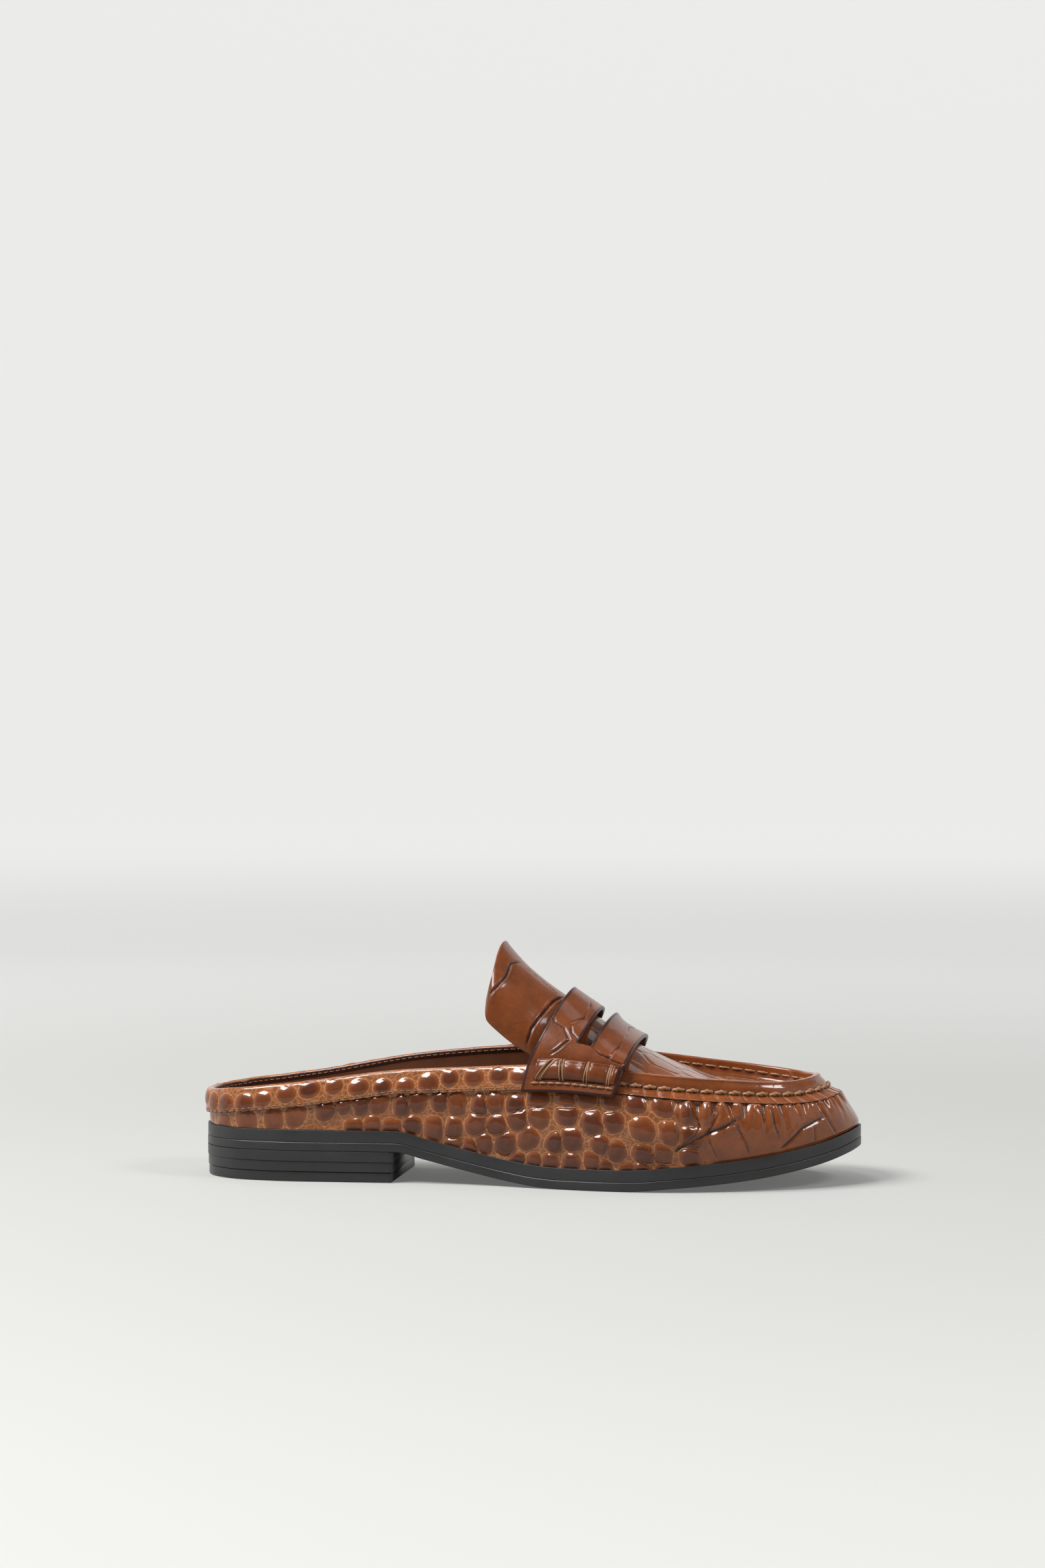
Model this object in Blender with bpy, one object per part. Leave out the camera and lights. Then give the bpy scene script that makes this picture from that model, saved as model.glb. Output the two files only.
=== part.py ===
"""A penny loafer mule, right shoe, as separate solids.

X runs from heel to toe, +Y is the inner (medial) side, +Z is up, and the shoe stands on Z = 0.
Every wall of the upper is worked out from a ring of sections round the last. Each section is square to
the outline: it starts at the foot of the wall on the midsole and ends at the collar's rim or at the top
of the moccasin seam. The plug, tongue and saddle are arches that span from one side to the other.
"""
import math

import bpy
import numpy as np

MM = 0.001

# Driving sizes
length = 262 * MM            # outsole, heel to toe
ball_width = 88 * MM         # outsole at the ball
heel_height = 20.4 * MM      # floor to the top of the midsole at the heel seat
toe_spring = 14.2 * MM       # floor to the underside at the toe tip
instep_rise = 62 * MM        # midsole to the plug's crown under the strap
outsole_thick = 3.6 * MM
midsole_thick = 4.4 * MM
insole_thick = 2.5 * MM
insole_gap = 0.7 * MM        # insole's edge to the inner face of the wall
heel_length = 80 * MM
heel_taper = 0.25 * MM       # each lift is this much smaller than the one above it
edge_break = 0.7 * MM        # small chamfer along the sole's edges
midsole_inset = 0.7 * MM     # the midsole stands back from the outsole's edge
upper_inset = 1.0 * MM       # the wall stands back from the outsole's edge
seat_gap = 0.3 * MM          # between pieces that are cemented or sewn together
wall = 1.6 * MM              # leather and lining of the upper
band_height = 9.4 * MM       # collar band, below the rim
band_thick = 1.0 * MM
flange_drop = 8.6 * MM       # lower edge of the seam's flange, below the seam's top
flange_proud = 0.7 * MM
flange_top = 5.4 * MM        # where the flange meets the standing seam, below the seam's top
flange_reach = 1.4 * MM      # how far that line lies outside the seam's top
toe_flange_drop = 7.6 * MM   # the same three sizes at the toe, where the seam leans back
toe_flange_top = 4.8 * MM
toe_flange_reach = 3.4 * MM
ridge_width = 2.6 * MM       # two edges of leather, sewn together
ridge_depth = 5.2 * MM       # from the seam's top down to the plug
ridge_soften = 0.5 * MM      # rounding of the seam's top and of its flange
plug_tuck = 0.2 * MM         # the plug's underside stands this far inside the seam's foot
tongue_thick = 2.0 * MM
saddle_thick = 1.7 * MM
saddle_lift_rear = 5.4 * MM  # saddle's outer face above the plug and tongue at the crown
saddle_lift_front = 3.7 * MM
saddle_foot_rise = 1.0 * MM  # where the saddle leaves the wall, above the rim
roll_bulge = 2.8 * MM
lift_names = ("heel_lift_upper", "heel_lift_lower", "heel_top_piece")

# Ring of sections, heel to toe. Foot and top of the wall in plan: along as a share of the length,
# out as a share of the ball width. Rise: share of the instep's rise. Belly: how far the wall swells,
# as a share of the ball width. Curl: how late the wall turns in.
#          foot_along foot_out top_along top_out  rise   belly  curl
heel_row = (0.0000, 0.000, 0.0048, 0.000, 0.216, 0.005, 1.5)
toe_row = (1.0000, 0.062, 0.9380, 0.050, 0.318, 0.008, 1.15)
lateral_rows = (
    (0.0160, -0.168, 0.0190, -0.155, 0.223, 0.006, 1.5),
    (0.0510, -0.268, 0.0530, -0.248, 0.243, 0.008, 1.5),
    (0.1180, -0.328, 0.1190, -0.300, 0.274, 0.010, 1.5),
    (0.2210, -0.336, 0.2210, -0.300, 0.330, 0.013, 1.6),
    (0.3360, -0.334, 0.3360, -0.300, 0.417, 0.017, 1.7),
    (0.4470, -0.364, 0.4470, -0.332, 0.552, 0.022, 2.0),
    (0.5460, -0.434, 0.5450, -0.384, 0.640, 0.024, 2.5),
    (0.6490, -0.491, 0.6450, -0.406, 0.613, 0.024, 3.2),
    (0.7520, -0.480, 0.7410, -0.382, 0.543, 0.022, 3.2),
    (0.8470, -0.394, 0.8270, -0.302, 0.473, 0.020, 2.8),
    (0.9280, -0.260, 0.8950, -0.190, 0.393, 0.016, 2.2),
    (0.9790, -0.108, 0.9280, -0.072, 0.345, 0.014, 1.6),
)
medial_rows = (
    (0.0160, 0.166, 0.0190, 0.153, 0.222, 0.006, 1.5),
    (0.0510, 0.264, 0.0530, 0.243, 0.239, 0.008, 1.5),
    (0.1180, 0.322, 0.1190, 0.293, 0.267, 0.010, 1.5),
    (0.2210, 0.320, 0.2210, 0.284, 0.343, 0.015, 1.6),
    (0.3360, 0.280, 0.3360, 0.258, 0.455, 0.028, 1.7),
    (0.4470, 0.260, 0.4470, 0.258, 0.610, 0.042, 2.0),
    (0.5460, 0.298, 0.5450, 0.298, 0.676, 0.042, 2.5),
    (0.6490, 0.411, 0.6450, 0.338, 0.648, 0.028, 3.2),
    (0.7520, 0.484, 0.7420, 0.378, 0.566, 0.022, 3.2),
    (0.8470, 0.484, 0.8290, 0.380, 0.487, 0.020, 2.8),
    (0.9280, 0.410, 0.8970, 0.308, 0.398, 0.016, 2.2),
    (0.9790, 0.252, 0.9280, 0.178, 0.343, 0.014, 1.6),
)

# Underside of the outsole: along, share of the heel's drop, share of the toe spring
under_rows = (
    (0.000, 1.000, 0.000),
    (0.310, 1.000, 0.000),
    (0.350, 0.800, 0.000),
    (0.420, 0.440, 0.000),
    (0.480, 0.180, 0.000),
    (0.530, 0.035, 0.000),
    (0.565, 0.000, 0.000),
    (0.660, 0.000, 0.000),
    (0.730, 0.000, 0.090),
    (0.850, 0.000, 0.310),
    (0.940, 0.000, 0.620),
    (0.985, 0.000, 0.880),
    (1.000, 0.000, 1.000),
)

# Crown of plug and tongue: along, height above the midsole's top as a share of the instep's rise
crown_rows = (
    (0.460, 1.342),
    (0.487, 1.228),
    (0.555, 1.035),
    (0.607, 0.895),
    (0.674, 0.706),
    (0.720, 0.590),
    (0.773, 0.478),
    (0.850, 0.375),
    (0.925, 0.290),
)

# Tongue, behind the plug's rear edge and up to its free end: along at the crown, along and out at its two
# side edges, and how far above the collar's rim each side edge lies, as a share of the instep's rise
#          crown  lateral along, out, above   medial along, out, above
tongue_rows = (
    (0.5520, 0.5190, -0.352, 0.050, 0.5190, 0.272, 0.030),
    (0.5220, 0.4920, -0.362, 0.135, 0.4920, 0.286, 0.100),
    (0.4930, 0.4660, -0.348, 0.225, 0.4660, 0.284, 0.180),
    (0.4710, 0.4470, -0.333, 0.310, 0.4470, 0.275, 0.255),
    (0.4620, 0.4450, -0.292, 0.415, 0.4450, 0.246, 0.350),
)

# Saddle: along of its rear and front edge at the foot, where it leaves the wall, and at the crown
saddle_foot = (0.511, 0.648)
saddle_leave = (0.519, 0.665)
saddle_crown = (0.564, 0.668)
saddle_drop = 9.8 * MM       # lower edge of the side patch, below the rim
slot_rear = 0.41             # penny slot, as shares of the saddle's width
slot_front = 0.575
slot_end = 0.26              # where the slot stops, as a share of the way up from the wall

ring_steps = 3               # ring points between two rows of the table
wall_levels = 5              # levels from the foot up to the band's or flange's lower edge
plug_columns = 8
band_tuck = 1                # ring points from the throat back to the collar band's end


def hermite(a, b, slope_a, slope_b, span, t):
    """Cubic from a to b with the given slopes."""
    t2, t3 = t * t, t * t * t
    value = a * (2 * t3 - 3 * t2 + 1) + b * (3 * t2 - 2 * t3)
    return value + span * (slope_a * (t3 - 2 * t2 + t) + slope_b * (t3 - t2))


def smooth(rows, column, at):
    """Read a table by its first column with a monotone cubic, so that flat stretches stay flat."""
    table = np.array(sorted(rows))
    x, y = table[:, 0], table[:, column]
    at = min(max(at, x[0]), x[-1])
    step = np.diff(x)
    rise = np.diff(y) / step
    slope = np.zeros(len(x))
    for k in range(1, len(x) - 1):
        if rise[k - 1] * rise[k] > 0:
            slope[k] = 2 * rise[k - 1] * rise[k] / (rise[k - 1] + rise[k])
    slope[0], slope[-1] = rise[0], rise[-1]
    k = min(int(np.searchsorted(x, at, side="right")) - 1, len(step) - 1)
    return hermite(y[k], y[k + 1], slope[k], slope[k + 1], step[k], (at - x[k]) / step[k])


# Sole
sole_thick = outsole_thick + seat_gap + midsole_thick
heel_drop = heel_height - sole_thick


def underside(x):
    share = x / length
    return heel_drop * smooth(under_rows, 1, share) + toe_spring * smooth(under_rows, 2, share)


def sole_top(x):
    return underside(x) + sole_thick


# Ring round the last: heel, lateral rows, toe, medial rows back to the heel
ring_rows = np.array((heel_row,) + lateral_rows + (toe_row,) + medial_rows[::-1])
row_count = len(ring_rows)
toe_at = len(lateral_rows) + 1
chord = np.array([np.hypot((ring_rows[(k + 1) % row_count, 0] - ring_rows[k, 0]) * length,
                           (ring_rows[(k + 1) % row_count, 1] - ring_rows[k, 1]) * ball_width)
                  for k in range(row_count)])


def ring(u):
    """Row of the ring table at u, a smooth closed curve through all rows."""
    k = int(math.floor(u)) % row_count
    t = u - math.floor(u)

    def slope(n):
        before, after = chord[(n - 1) % row_count], chord[n % row_count]
        here = ring_rows[n % row_count]
        to_here = (here - ring_rows[(n - 1) % row_count]) / before
        from_here = (ring_rows[(n + 1) % row_count] - here) / after
        return (to_here * after + from_here * before) / (before + after)

    return hermite(ring_rows[k], ring_rows[(k + 1) % row_count], slope(k), slope(k + 1), chord[k], t)


def outline(u):
    """Edge of the outsole in plan, and its outward direction."""
    small = 0.01
    row, ahead, behind = ring(u), ring(u + small), ring(u - small)
    run = np.array([(ahead[0] - behind[0]) * length, (ahead[1] - behind[1]) * ball_width])
    run /= np.linalg.norm(run)
    return np.array([row[0] * length, row[1] * ball_width]), np.array([run[1], -run[0]])


def ring_at(side, x):
    """Place on the ring where the wall's foot lies at x, on side -1 (lateral) or +1 (medial)."""
    low, high = (0.0, float(toe_at)) if side < 0 else (float(row_count), float(toe_at))
    for _ in range(40):
        middle = (low + high) / 2
        if ring(middle)[0] * length < x:
            low = middle
        else:
            high = middle
    return (low + high) / 2


def wall_point(u, t, out=0.0):
    """Outer face of the plain wall at share t of its height, moved outward by out."""
    row = ring(u)
    edge, outward = outline(u)
    foot = edge - outward * upper_inset
    top = np.array([row[2] * length, row[3] * ball_width])
    foot_z = sole_top(edge[0]) + seat_gap
    plan = foot + (top - foot) * max(t, 0.0) ** row[6]
    plan = plan + outward * (row[5] * ball_width * math.sin(math.pi * min(max(t, 0.0), 1.0)) + out)
    return np.array([plan[0], plan[1], foot_z + row[4] * instep_rise * t])


def wall_rise(u):
    return ring(u)[4] * instep_rise


def rim_height(u):
    return wall_point(u, 1.0)[2]


ring_count = row_count * ring_steps
toe_index = toe_at * ring_steps
throat_index = 7 * ring_steps


def is_front(index):
    return throat_index <= index <= ring_count - throat_index


def front_blend(index):
    """0 along the collar, 1 along the seam, with a short change under the saddle."""
    nearest = min(index, ring_count - index)
    return min(max((nearest - throat_index + 2) / 3.0, 0.0), 1.0)


def unit(vector):
    return vector / np.linalg.norm(vector)


def upper_section(index):
    """Outer and inner points of one section of the upper, foot first."""
    u = index / ring_steps
    rise = wall_rise(u)
    outward = np.append(outline(u)[1], 0.0)
    up = np.array([0.0, 0.0, 1.0])
    blend = front_blend(index)
    toeward = max(outward[0], 0.0) ** 2
    drop = flange_drop + (toe_flange_drop - flange_drop) * toeward
    stand = flange_top + (toe_flange_top - flange_top) * toeward
    reach = flange_reach + (toe_flange_reach - flange_reach) * toeward
    step_t = 1.0 - (band_height + (drop - band_height) * blend) / rise

    def face_normal(t):
        small = 0.01
        along = wall_point(u + small, t) - wall_point(u - small, t)
        upward = wall_point(u, t + small) - wall_point(u, max(t - small, 0.0))
        return unit(np.cross(along, upward))

    outer, inner = [], []
    for k in range(wall_levels + 1):
        t = step_t * k / wall_levels
        outer.append(wall_point(u, t))
        inner.append(wall_point(u, t) - face_normal(t) * wall)
    rear_t = [step_t + (1.0 - step_t) * share for share in (0.2, 0.6, 1.0)]
    rear_outer = [wall_point(u, t) for t in rear_t]
    rear_inner = [wall_point(u, t) - face_normal(t) * wall for t in rear_t]
    for point in rear_inner:
        point[2] = min(point[2], rear_outer[-1][2])
    top = wall_point(u, 1.0)
    step = outer[-1]
    front_outer = [
        step + face_normal(step_t) * flange_proud + up * ridge_soften,
        top + outward * reach - up * stand,
        top - up * ridge_soften,
    ]
    ridge = [
        top - outward * ridge_width * 0.5,
        top - outward * ridge_width - up * ridge_soften,
        top - outward * (ridge_width + ridge_soften) - up * ridge_depth,
    ]
    plug_under = ridge[-1] - up * wall - outward * plug_tuck
    step_in = inner[-1]
    count = len(front_outer) + len(ridge)
    front_inner = [step_in + (plug_under - step_in) * (k + 1) / count for k in range(count)]
    for k in range(len(front_outer)):
        outer.append(rear_outer[k] * (1 - blend) + front_outer[k] * blend)
        inner.append(rear_inner[k] * (1 - blend) + front_inner[k] * blend)
    if is_front(index):
        outer += ridge
        inner += front_inner[len(front_outer):]
    return outer, inner


def crown_height(x):
    return sole_top(x) + instep_rise * smooth(crown_rows, 1, x / length)


def arch(lateral, crown, medial, share, fullness=2.0):
    """Point of an arch from the lateral (-1) over the crown (0) to the medial side (+1)."""
    side = lateral if share < 0 else medial
    angle = abs(share) * math.pi / 2
    across = math.sin(angle) ** (2 / fullness)
    height = math.cos(angle) ** (2 / fullness) if angle < math.pi / 2 - 1e-9 else 0.0
    return np.array([
        crown[0] + (side[0] - crown[0]) * (1 - math.cos(angle)),
        crown[1] + (side[1] - crown[1]) * across,
        side[2] + (crown[2] - side[2]) * height,
    ])


def crown_shift(index):
    """How far the plug's crown lies ahead of its sides: most at the throat, none at the toe."""
    share = (toe_index - index) / (toe_index - throat_index)
    return 0.0345 * length * share ** 1.5


def plug_arch(index, lateral, medial):
    """Crown of the plug between two paired sections, which end at lateral and medial."""
    x = (lateral[0] + medial[0]) / 2 + crown_shift(index)
    height = max(crown_height(x), lateral[2], medial[2])
    return np.array([x, (lateral[1] + medial[1]) / 2, height])


def throat_row(columns):
    """Rear edge of the plug, from the lateral to the medial side."""
    lateral = upper_section(throat_index)[0][-1]
    medial = upper_section(ring_count - throat_index)[0][-1]
    crown = plug_arch(throat_index, lateral, medial)
    return [arch(lateral, crown, medial, -1 + 2 * k / columns) for k in range(columns + 1)]


def grid_normals(grid):
    grid = np.asarray(grid)
    down = np.gradient(grid, axis=0)
    across = np.gradient(grid, axis=1)
    normal = np.cross(down, across)
    return normal / np.linalg.norm(normal, axis=2)[:, :, None]


# Objects
placed_points = []


def material(name, color, roughness, coat=0.0):
    shade = bpy.data.materials.new(name)
    shade.use_nodes = True
    bsdf = shade.node_tree.nodes["Principled BSDF"]
    bsdf.inputs["Base Color"].default_value = (*color, 1.0)
    bsdf.inputs["Roughness"].default_value = roughness
    bsdf.inputs["Metallic"].default_value = 0.0
    bsdf.inputs["Coat Weight"].default_value = coat
    shade.diffuse_color = (*color, 1.0)
    return shade


def add_object(name, points, faces, shade, root):
    mesh = bpy.data.meshes.new(name)
    mesh.from_pydata([tuple(p) for p in points], [], faces)
    mesh.validate()
    mesh.shade_smooth()
    mesh.set_sharp_from_angle(angle=math.radians(40))
    mesh.materials.append(shade)
    piece = bpy.data.objects.new(name, mesh)
    bpy.context.scene.collection.objects.link(piece)
    piece.parent = root
    placed_points.extend(points)
    return piece


def thick_shell(outer, inner, faces):
    """Close an outer and an inner skin of the same faces along every open edge."""
    count = len(outer)
    edges = {}
    for face in faces:
        for a, b in zip(face, face[1:] + face[:1]):
            edges[(a, b)] = edges.get((a, b), 0) + 1
    closed = list(faces)
    closed += [tuple(count + k for k in reversed(face)) for face in faces]
    for a, b in edges:
        if (b, a) not in edges:
            closed.append((b, a, count + a, count + b))
    return list(outer) + list(inner), closed


def grid_faces(rows, columns, skip=()):
    faces = []
    for r in range(rows - 1):
        for c in range(columns - 1):
            if (r, c) not in skip:
                a = r * columns + c
                faces.append((a, a + columns, a + columns + 1, a + 1))
    return faces


def grid_shell(inner, thickness, skip=()):
    """A sheet that lies on the inner grid, with its thickness along the grid's normals."""
    inner = np.asarray(inner)
    outer = inner + grid_normals(inner) * thickness
    rows, columns = inner.shape[:2]
    return thick_shell(list(outer.reshape(-1, 3)), list(inner.reshape(-1, 3)), grid_faces(rows, columns, skip))


def paired_cap(start, upward):
    """Faces across a ring, each lateral point joined to its medial partner."""
    faces = []
    for k in range(toe_index):
        a, b = start + k, start + k + 1
        c, d = start + (ring_count - k - 1), start + (ring_count - k) % ring_count
        face = [a, b, c, d]
        face = [p for n, p in enumerate(face) if p not in face[:n]]
        faces.append(tuple(face) if upward else tuple(reversed(face)))
    return faces


def sole_layer(name, levels, shade, root):
    """A bent plate. Levels are (inset from the outline, height above the outsole's underside)."""
    points = []
    for inset, height in levels:
        for k in range(ring_count):
            edge, outward = outline(k / ring_steps)
            plan = edge - outward * inset
            points.append((plan[0], plan[1], underside(plan[0]) + height))
    faces = paired_cap(0, False)
    for level in range(len(levels) - 1):
        for k in range(ring_count):
            a = level * ring_count + k
            b = level * ring_count + (k + 1) % ring_count
            faces.append((a, b, b + ring_count, a + ring_count))
    faces += paired_cap((len(levels) - 1) * ring_count, True)
    return add_object(name, points, faces, shade, root)


def build_sole(shades, root):
    sole_layer("outsole", (
        (edge_break, 0.0),
        (0.0, edge_break),
        (0.0, outsole_thick - edge_break / 2),
        (edge_break / 2, outsole_thick),
    ), shades["sole"], root)
    base = outsole_thick + seat_gap
    sole_layer("midsole", (
        (midsole_inset, base),
        (midsole_inset, base + midsole_thick - edge_break / 2),
        (midsole_inset + edge_break / 2, base + midsole_thick),
    ), shades["sole"], root)
    inside = upper_inset + wall + insole_gap
    base = sole_thick + seat_gap
    sole_layer("insole", (
        (inside, base),
        (inside, base + insole_thick * 0.6),
        (inside + insole_thick * 0.4, base + insole_thick),
    ), shades["lining"], root)


def build_heel(shades, root):
    count = len(lift_names)
    thick = (heel_drop - seat_gap * count) / count
    for number, name in enumerate(lift_names):
        top = heel_drop - seat_gap - number * (thick + seat_gap)
        bottom = top - thick
        inset = heel_taper * (number + 1)
        last = number == count - 1
        levels = [(inset, top), (inset, bottom + (edge_break if last else 0.0))]
        if last:
            levels.append((inset + edge_break, bottom))
        points = []
        for level_inset, z in levels:
            front = heel_length - level_inset
            start = ring_at(-1, front)
            finish = ring_at(1, front)
            lateral = int(math.floor(start * ring_steps))
            medial = int(math.ceil(finish * ring_steps))
            steps = [start] + [k / ring_steps for k in range(lateral, 0, -1)] + [0.0]
            steps += [k / ring_steps for k in range(ring_count - 1, medial - 1, -1)] + [finish]
            for place, u in enumerate(steps):
                edge, outward = outline(u)
                plan = edge - outward * level_inset
                if place in (0, len(steps) - 1):
                    plan[0] = front
                points.append((plan[0], plan[1], z))
        size = len(points) // len(levels)
        faces = [tuple(reversed(range(size)))]
        for level in range(len(levels) - 1):
            for k in range(size):
                a = level * size + k
                b = level * size + (k + 1) % size
                faces.append((a, b, b + size, a + size))
        faces.append(tuple(range((len(levels) - 1) * size, len(levels) * size)))
        add_object(name, points, faces, shades["sole"], root)


def build_upper(shades, root):
    outer, inner, columns = [], [], []
    for index in range(ring_count):
        section_out, section_in = upper_section(index)
        columns.append(list(range(len(outer), len(outer) + len(section_out))))
        outer += section_out
        inner += section_in
    faces = []
    for index in range(ring_count):
        here, there = columns[index], columns[(index + 1) % ring_count]
        for level in range(min(len(here), len(there)) - 1):
            faces.append((here[level], there[level], there[level + 1], here[level + 1]))

    # Plug: a row of points between each pair of sections in front of the throat
    rows = []
    for index in range(throat_index, toe_index):
        lateral_id, medial_id = columns[index][-1], columns[ring_count - index][-1]
        lateral, medial = outer[lateral_id], outer[medial_id]
        crown = plug_arch(index, lateral, medial)
        row = [lateral_id]
        for k in range(1, plug_columns):
            share = -1 + 2 * k / plug_columns
            point = arch(lateral, crown, medial, share)
            row.append(len(outer))
            outer.append(point)
            inner.append(None)
        rows.append(row + [medial_id])
    grid = np.array([[outer[p] for p in row] for row in rows])
    normals = grid_normals(grid)
    for r, row in enumerate(rows):
        for c, p in enumerate(row):
            if inner[p] is None:
                inner[p] = outer[p] - normals[r, c] * wall
    for r in range(len(rows) - 1):
        for c in range(plug_columns):
            faces.append((rows[r][c], rows[r + 1][c], rows[r + 1][c + 1], rows[r][c + 1]))
    tip = columns[toe_index][-1]
    for c in range(plug_columns):
        faces.append((rows[-1][c], tip, rows[-1][c + 1]))
    points, closed = thick_shell(outer, inner, faces)
    add_object("upper", points, closed, shades["leather"], root)


def build_collar_band(shades, root):
    """Overlay round the collar. Its ends lie under the saddle's side patches."""
    last = throat_index - band_tuck
    places = [k / ring_steps for k in range(ring_count - last, ring_count)]
    places += [k / ring_steps for k in range(0, last + 1)]
    rows = []
    for u in places:
        low = 1.0 - band_height / wall_rise(u)
        rows.append([wall_point(u, low + (1.0 - low) * k / 4, seat_gap) for k in range(5)])
    points, faces = grid_shell(rows, band_thick)
    add_object("collar_band", points, faces, shades["leather"], root)


def tongue_grid(columns=2 * plug_columns):
    rows = [[point - np.array([seat_gap, 0.0, 0.0]) for point in throat_row(columns)]]
    for crown_at, lat_along, lat_out, lat_above, med_along, med_out, med_above in tongue_rows:
        sides = []
        for side, along, out, above in ((-1, lat_along, lat_out, lat_above), (1, med_along, med_out, med_above)):
            rim = rim_height(ring_at(side, along * length))
            sides.append(np.array([along * length, out * ball_width, rim + above * instep_rise]))
        middle = (sides[0][1] + sides[1][1]) / 2
        crown = np.array([crown_at * length, middle, crown_height(crown_at * length)])
        rows.append([arch(sides[0], crown, sides[1], -1 + 2 * k / columns) for k in range(columns + 1)])
    return np.array(rows)


def build_tongue(shades, root):
    outer = tongue_grid()[::-1]
    normals = grid_normals(outer)
    rows, columns = outer.shape[:2]
    inner = outer - normals * tongue_thick
    points, faces = thick_shell(list(outer.reshape(-1, 3)), list(inner.reshape(-1, 3)), grid_faces(rows, columns))
    add_object("tongue", points, faces, shades["leather"], root)


patch_stand = 2 * seat_gap + band_thick       # the patch lies over the collar band's end
patch_shares = (0.0, 0.22, 0.45, 0.72, 1.0)   # up the side patch
arch_shares = (0.14, slot_end, 0.5, 0.75)     # from the wall to the crown
width_shares = (0.0, 0.2, slot_rear, slot_front, 0.78, 1.0)
roll_ends = (0.12, 0.96)                      # rear and front end, as shares of the patch's width
roll_columns = (1.8, 4.7)                     # lower and upper edge, in columns of the saddle's grid


def saddle_side(side, across, up_share):
    """Inner face of a side patch: across from its rear to its front edge, up from its lower edge."""
    foot = saddle_foot[0] + (saddle_foot[1] - saddle_foot[0]) * across
    leave = saddle_leave[0] + (saddle_leave[1] - saddle_leave[0]) * across
    x = (foot + (leave - foot) * up_share) * length
    u = ring_at(side, x)
    rise = wall_rise(u)
    low = -saddle_drop
    t = 1.0 + (low + (saddle_foot_rise - low) * up_share) / rise
    stand = patch_stand + flange_proud
    point = wall_point(u, min(t, 1.0), stand)
    point[2] = wall_point(u, t)[2]
    return point


def saddle_crown_point(across):
    x = (saddle_crown[0] + (saddle_crown[1] - saddle_crown[0]) * across) * length
    lateral, medial = saddle_side(-1, across, 1.0), saddle_side(1, across, 1.0)
    middle = (lateral[1] + medial[1]) / 2
    lift = saddle_lift_rear + (saddle_lift_front - saddle_lift_rear) * across
    return np.array([x, middle, crown_height(x) + lift - saddle_thick])


def saddle_grid(widths):
    rows = []
    for across in widths:
        lateral, medial = saddle_side(-1, across, 1.0), saddle_side(1, across, 1.0)
        crown = saddle_crown_point(across)
        row = [saddle_side(-1, across, share) for share in patch_shares]
        row += [arch(lateral, crown, medial, -(1 - share)) for share in arch_shares]
        row.append(crown)
        row += [arch(lateral, crown, medial, 1 - share) for share in reversed(arch_shares)]
        row += [saddle_side(1, across, share) for share in reversed(patch_shares)]
        rows.append(row)
    return np.array(rows)


def build_saddle(shades, root):
    grid = saddle_grid(width_shares)
    slot_row = width_shares.index(slot_rear)
    first = len(patch_shares) + arch_shares.index(slot_end)
    last = grid.shape[1] - 1 - first
    slot = [(slot_row, c) for c in range(first, last)]
    points, faces = grid_shell(grid, saddle_thick, slot)
    add_object("saddle", points, faces, shades["leather"], root)


def between(grid, row, column):
    """Point of a grid at a fractional row and column."""
    r = min(int(row), grid.shape[0] - 2)
    c = min(int(column), grid.shape[1] - 2)
    fr, fc = row - r, column - c
    low = grid[r, c] * (1 - fc) + grid[r, c + 1] * fc
    high = grid[r + 1, c] * (1 - fc) + grid[r + 1, c + 1] * fc
    return low * (1 - fr) + high * fr


def build_roll(name, side, shades, root):
    """A thread-bound roll that lies on the side patch and swells out from it."""
    inner = saddle_grid(width_shares)
    normals = grid_normals(inner)
    outer = inner + normals * saddle_thick
    last_row, last_column = len(width_shares) - 1, inner.shape[1] - 1
    rows, columns = 11, 7
    back = np.zeros((rows, columns, 3))
    front = np.zeros((rows, columns, 3))
    for r in range(rows):
        place = last_row * (roll_ends[0] + (roll_ends[1] - roll_ends[0]) * r / (rows - 1))
        end = math.sin(math.pi * (r + 0.35) / (rows - 0.3)) ** 0.35
        for c in range(columns):
            up = roll_columns[0] + (roll_columns[1] - roll_columns[0]) * c / (columns - 1)
            column = up if side < 0 else last_column - up
            normal = unit(between(normals, place, column))
            swell = math.sin(math.pi * (c + 0.35) / (columns - 0.3)) ** 0.6
            back[r, c] = between(outer, place, column) + normal * seat_gap
            front[r, c] = back[r, c] + normal * roll_bulge * end * swell
    if side > 0:
        front, back = front[::-1], back[::-1]
    points, faces = thick_shell(list(front.reshape(-1, 3)), list(back.reshape(-1, 3)), grid_faces(rows, columns))
    add_object(name, points, faces, shades["leather"], root)


def main():
    for old in list(bpy.data.objects):
        bpy.data.objects.remove(old, do_unlink=True)
    shades = {
        "sole": material("sole", (0.035, 0.035, 0.037), 0.5),
        "leather": material("leather", (0.30, 0.10, 0.028), 0.22, 0.6),
        "lining": material("lining", (0.17, 0.09, 0.05), 0.6),
    }
    root = bpy.data.objects.new("shoe", None)
    bpy.context.scene.collection.objects.link(root)
    build_sole(shades, root)
    build_heel(shades, root)
    build_upper(shades, root)
    build_collar_band(shades, root)
    build_tongue(shades, root)
    build_saddle(shades, root)
    build_roll("saddle_roll_lateral", -1, shades, root)
    build_roll("saddle_roll_medial", 1, shades, root)
    low = np.min(placed_points, axis=0)
    high = np.max(placed_points, axis=0)
    root.location = (-(low[0] + high[0]) / 2, -(low[1] + high[1]) / 2, -low[2])


main()
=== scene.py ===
# %% [markdown]
# # A penny loafer mule in glossy embossed leather
# The shoe is a right mule: a moccasin upper that is open behind the instep, on a low stacked heel. The
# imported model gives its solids. This lesson dresses them: every surface is worked out again from the same
# sections as the solids, finely enough to carry embossed scales, folds, seams and stitches.

# %% Load the frame
import math

import bmesh
import bpy
import numpy as np
from mathutils import Matrix, Vector


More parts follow.
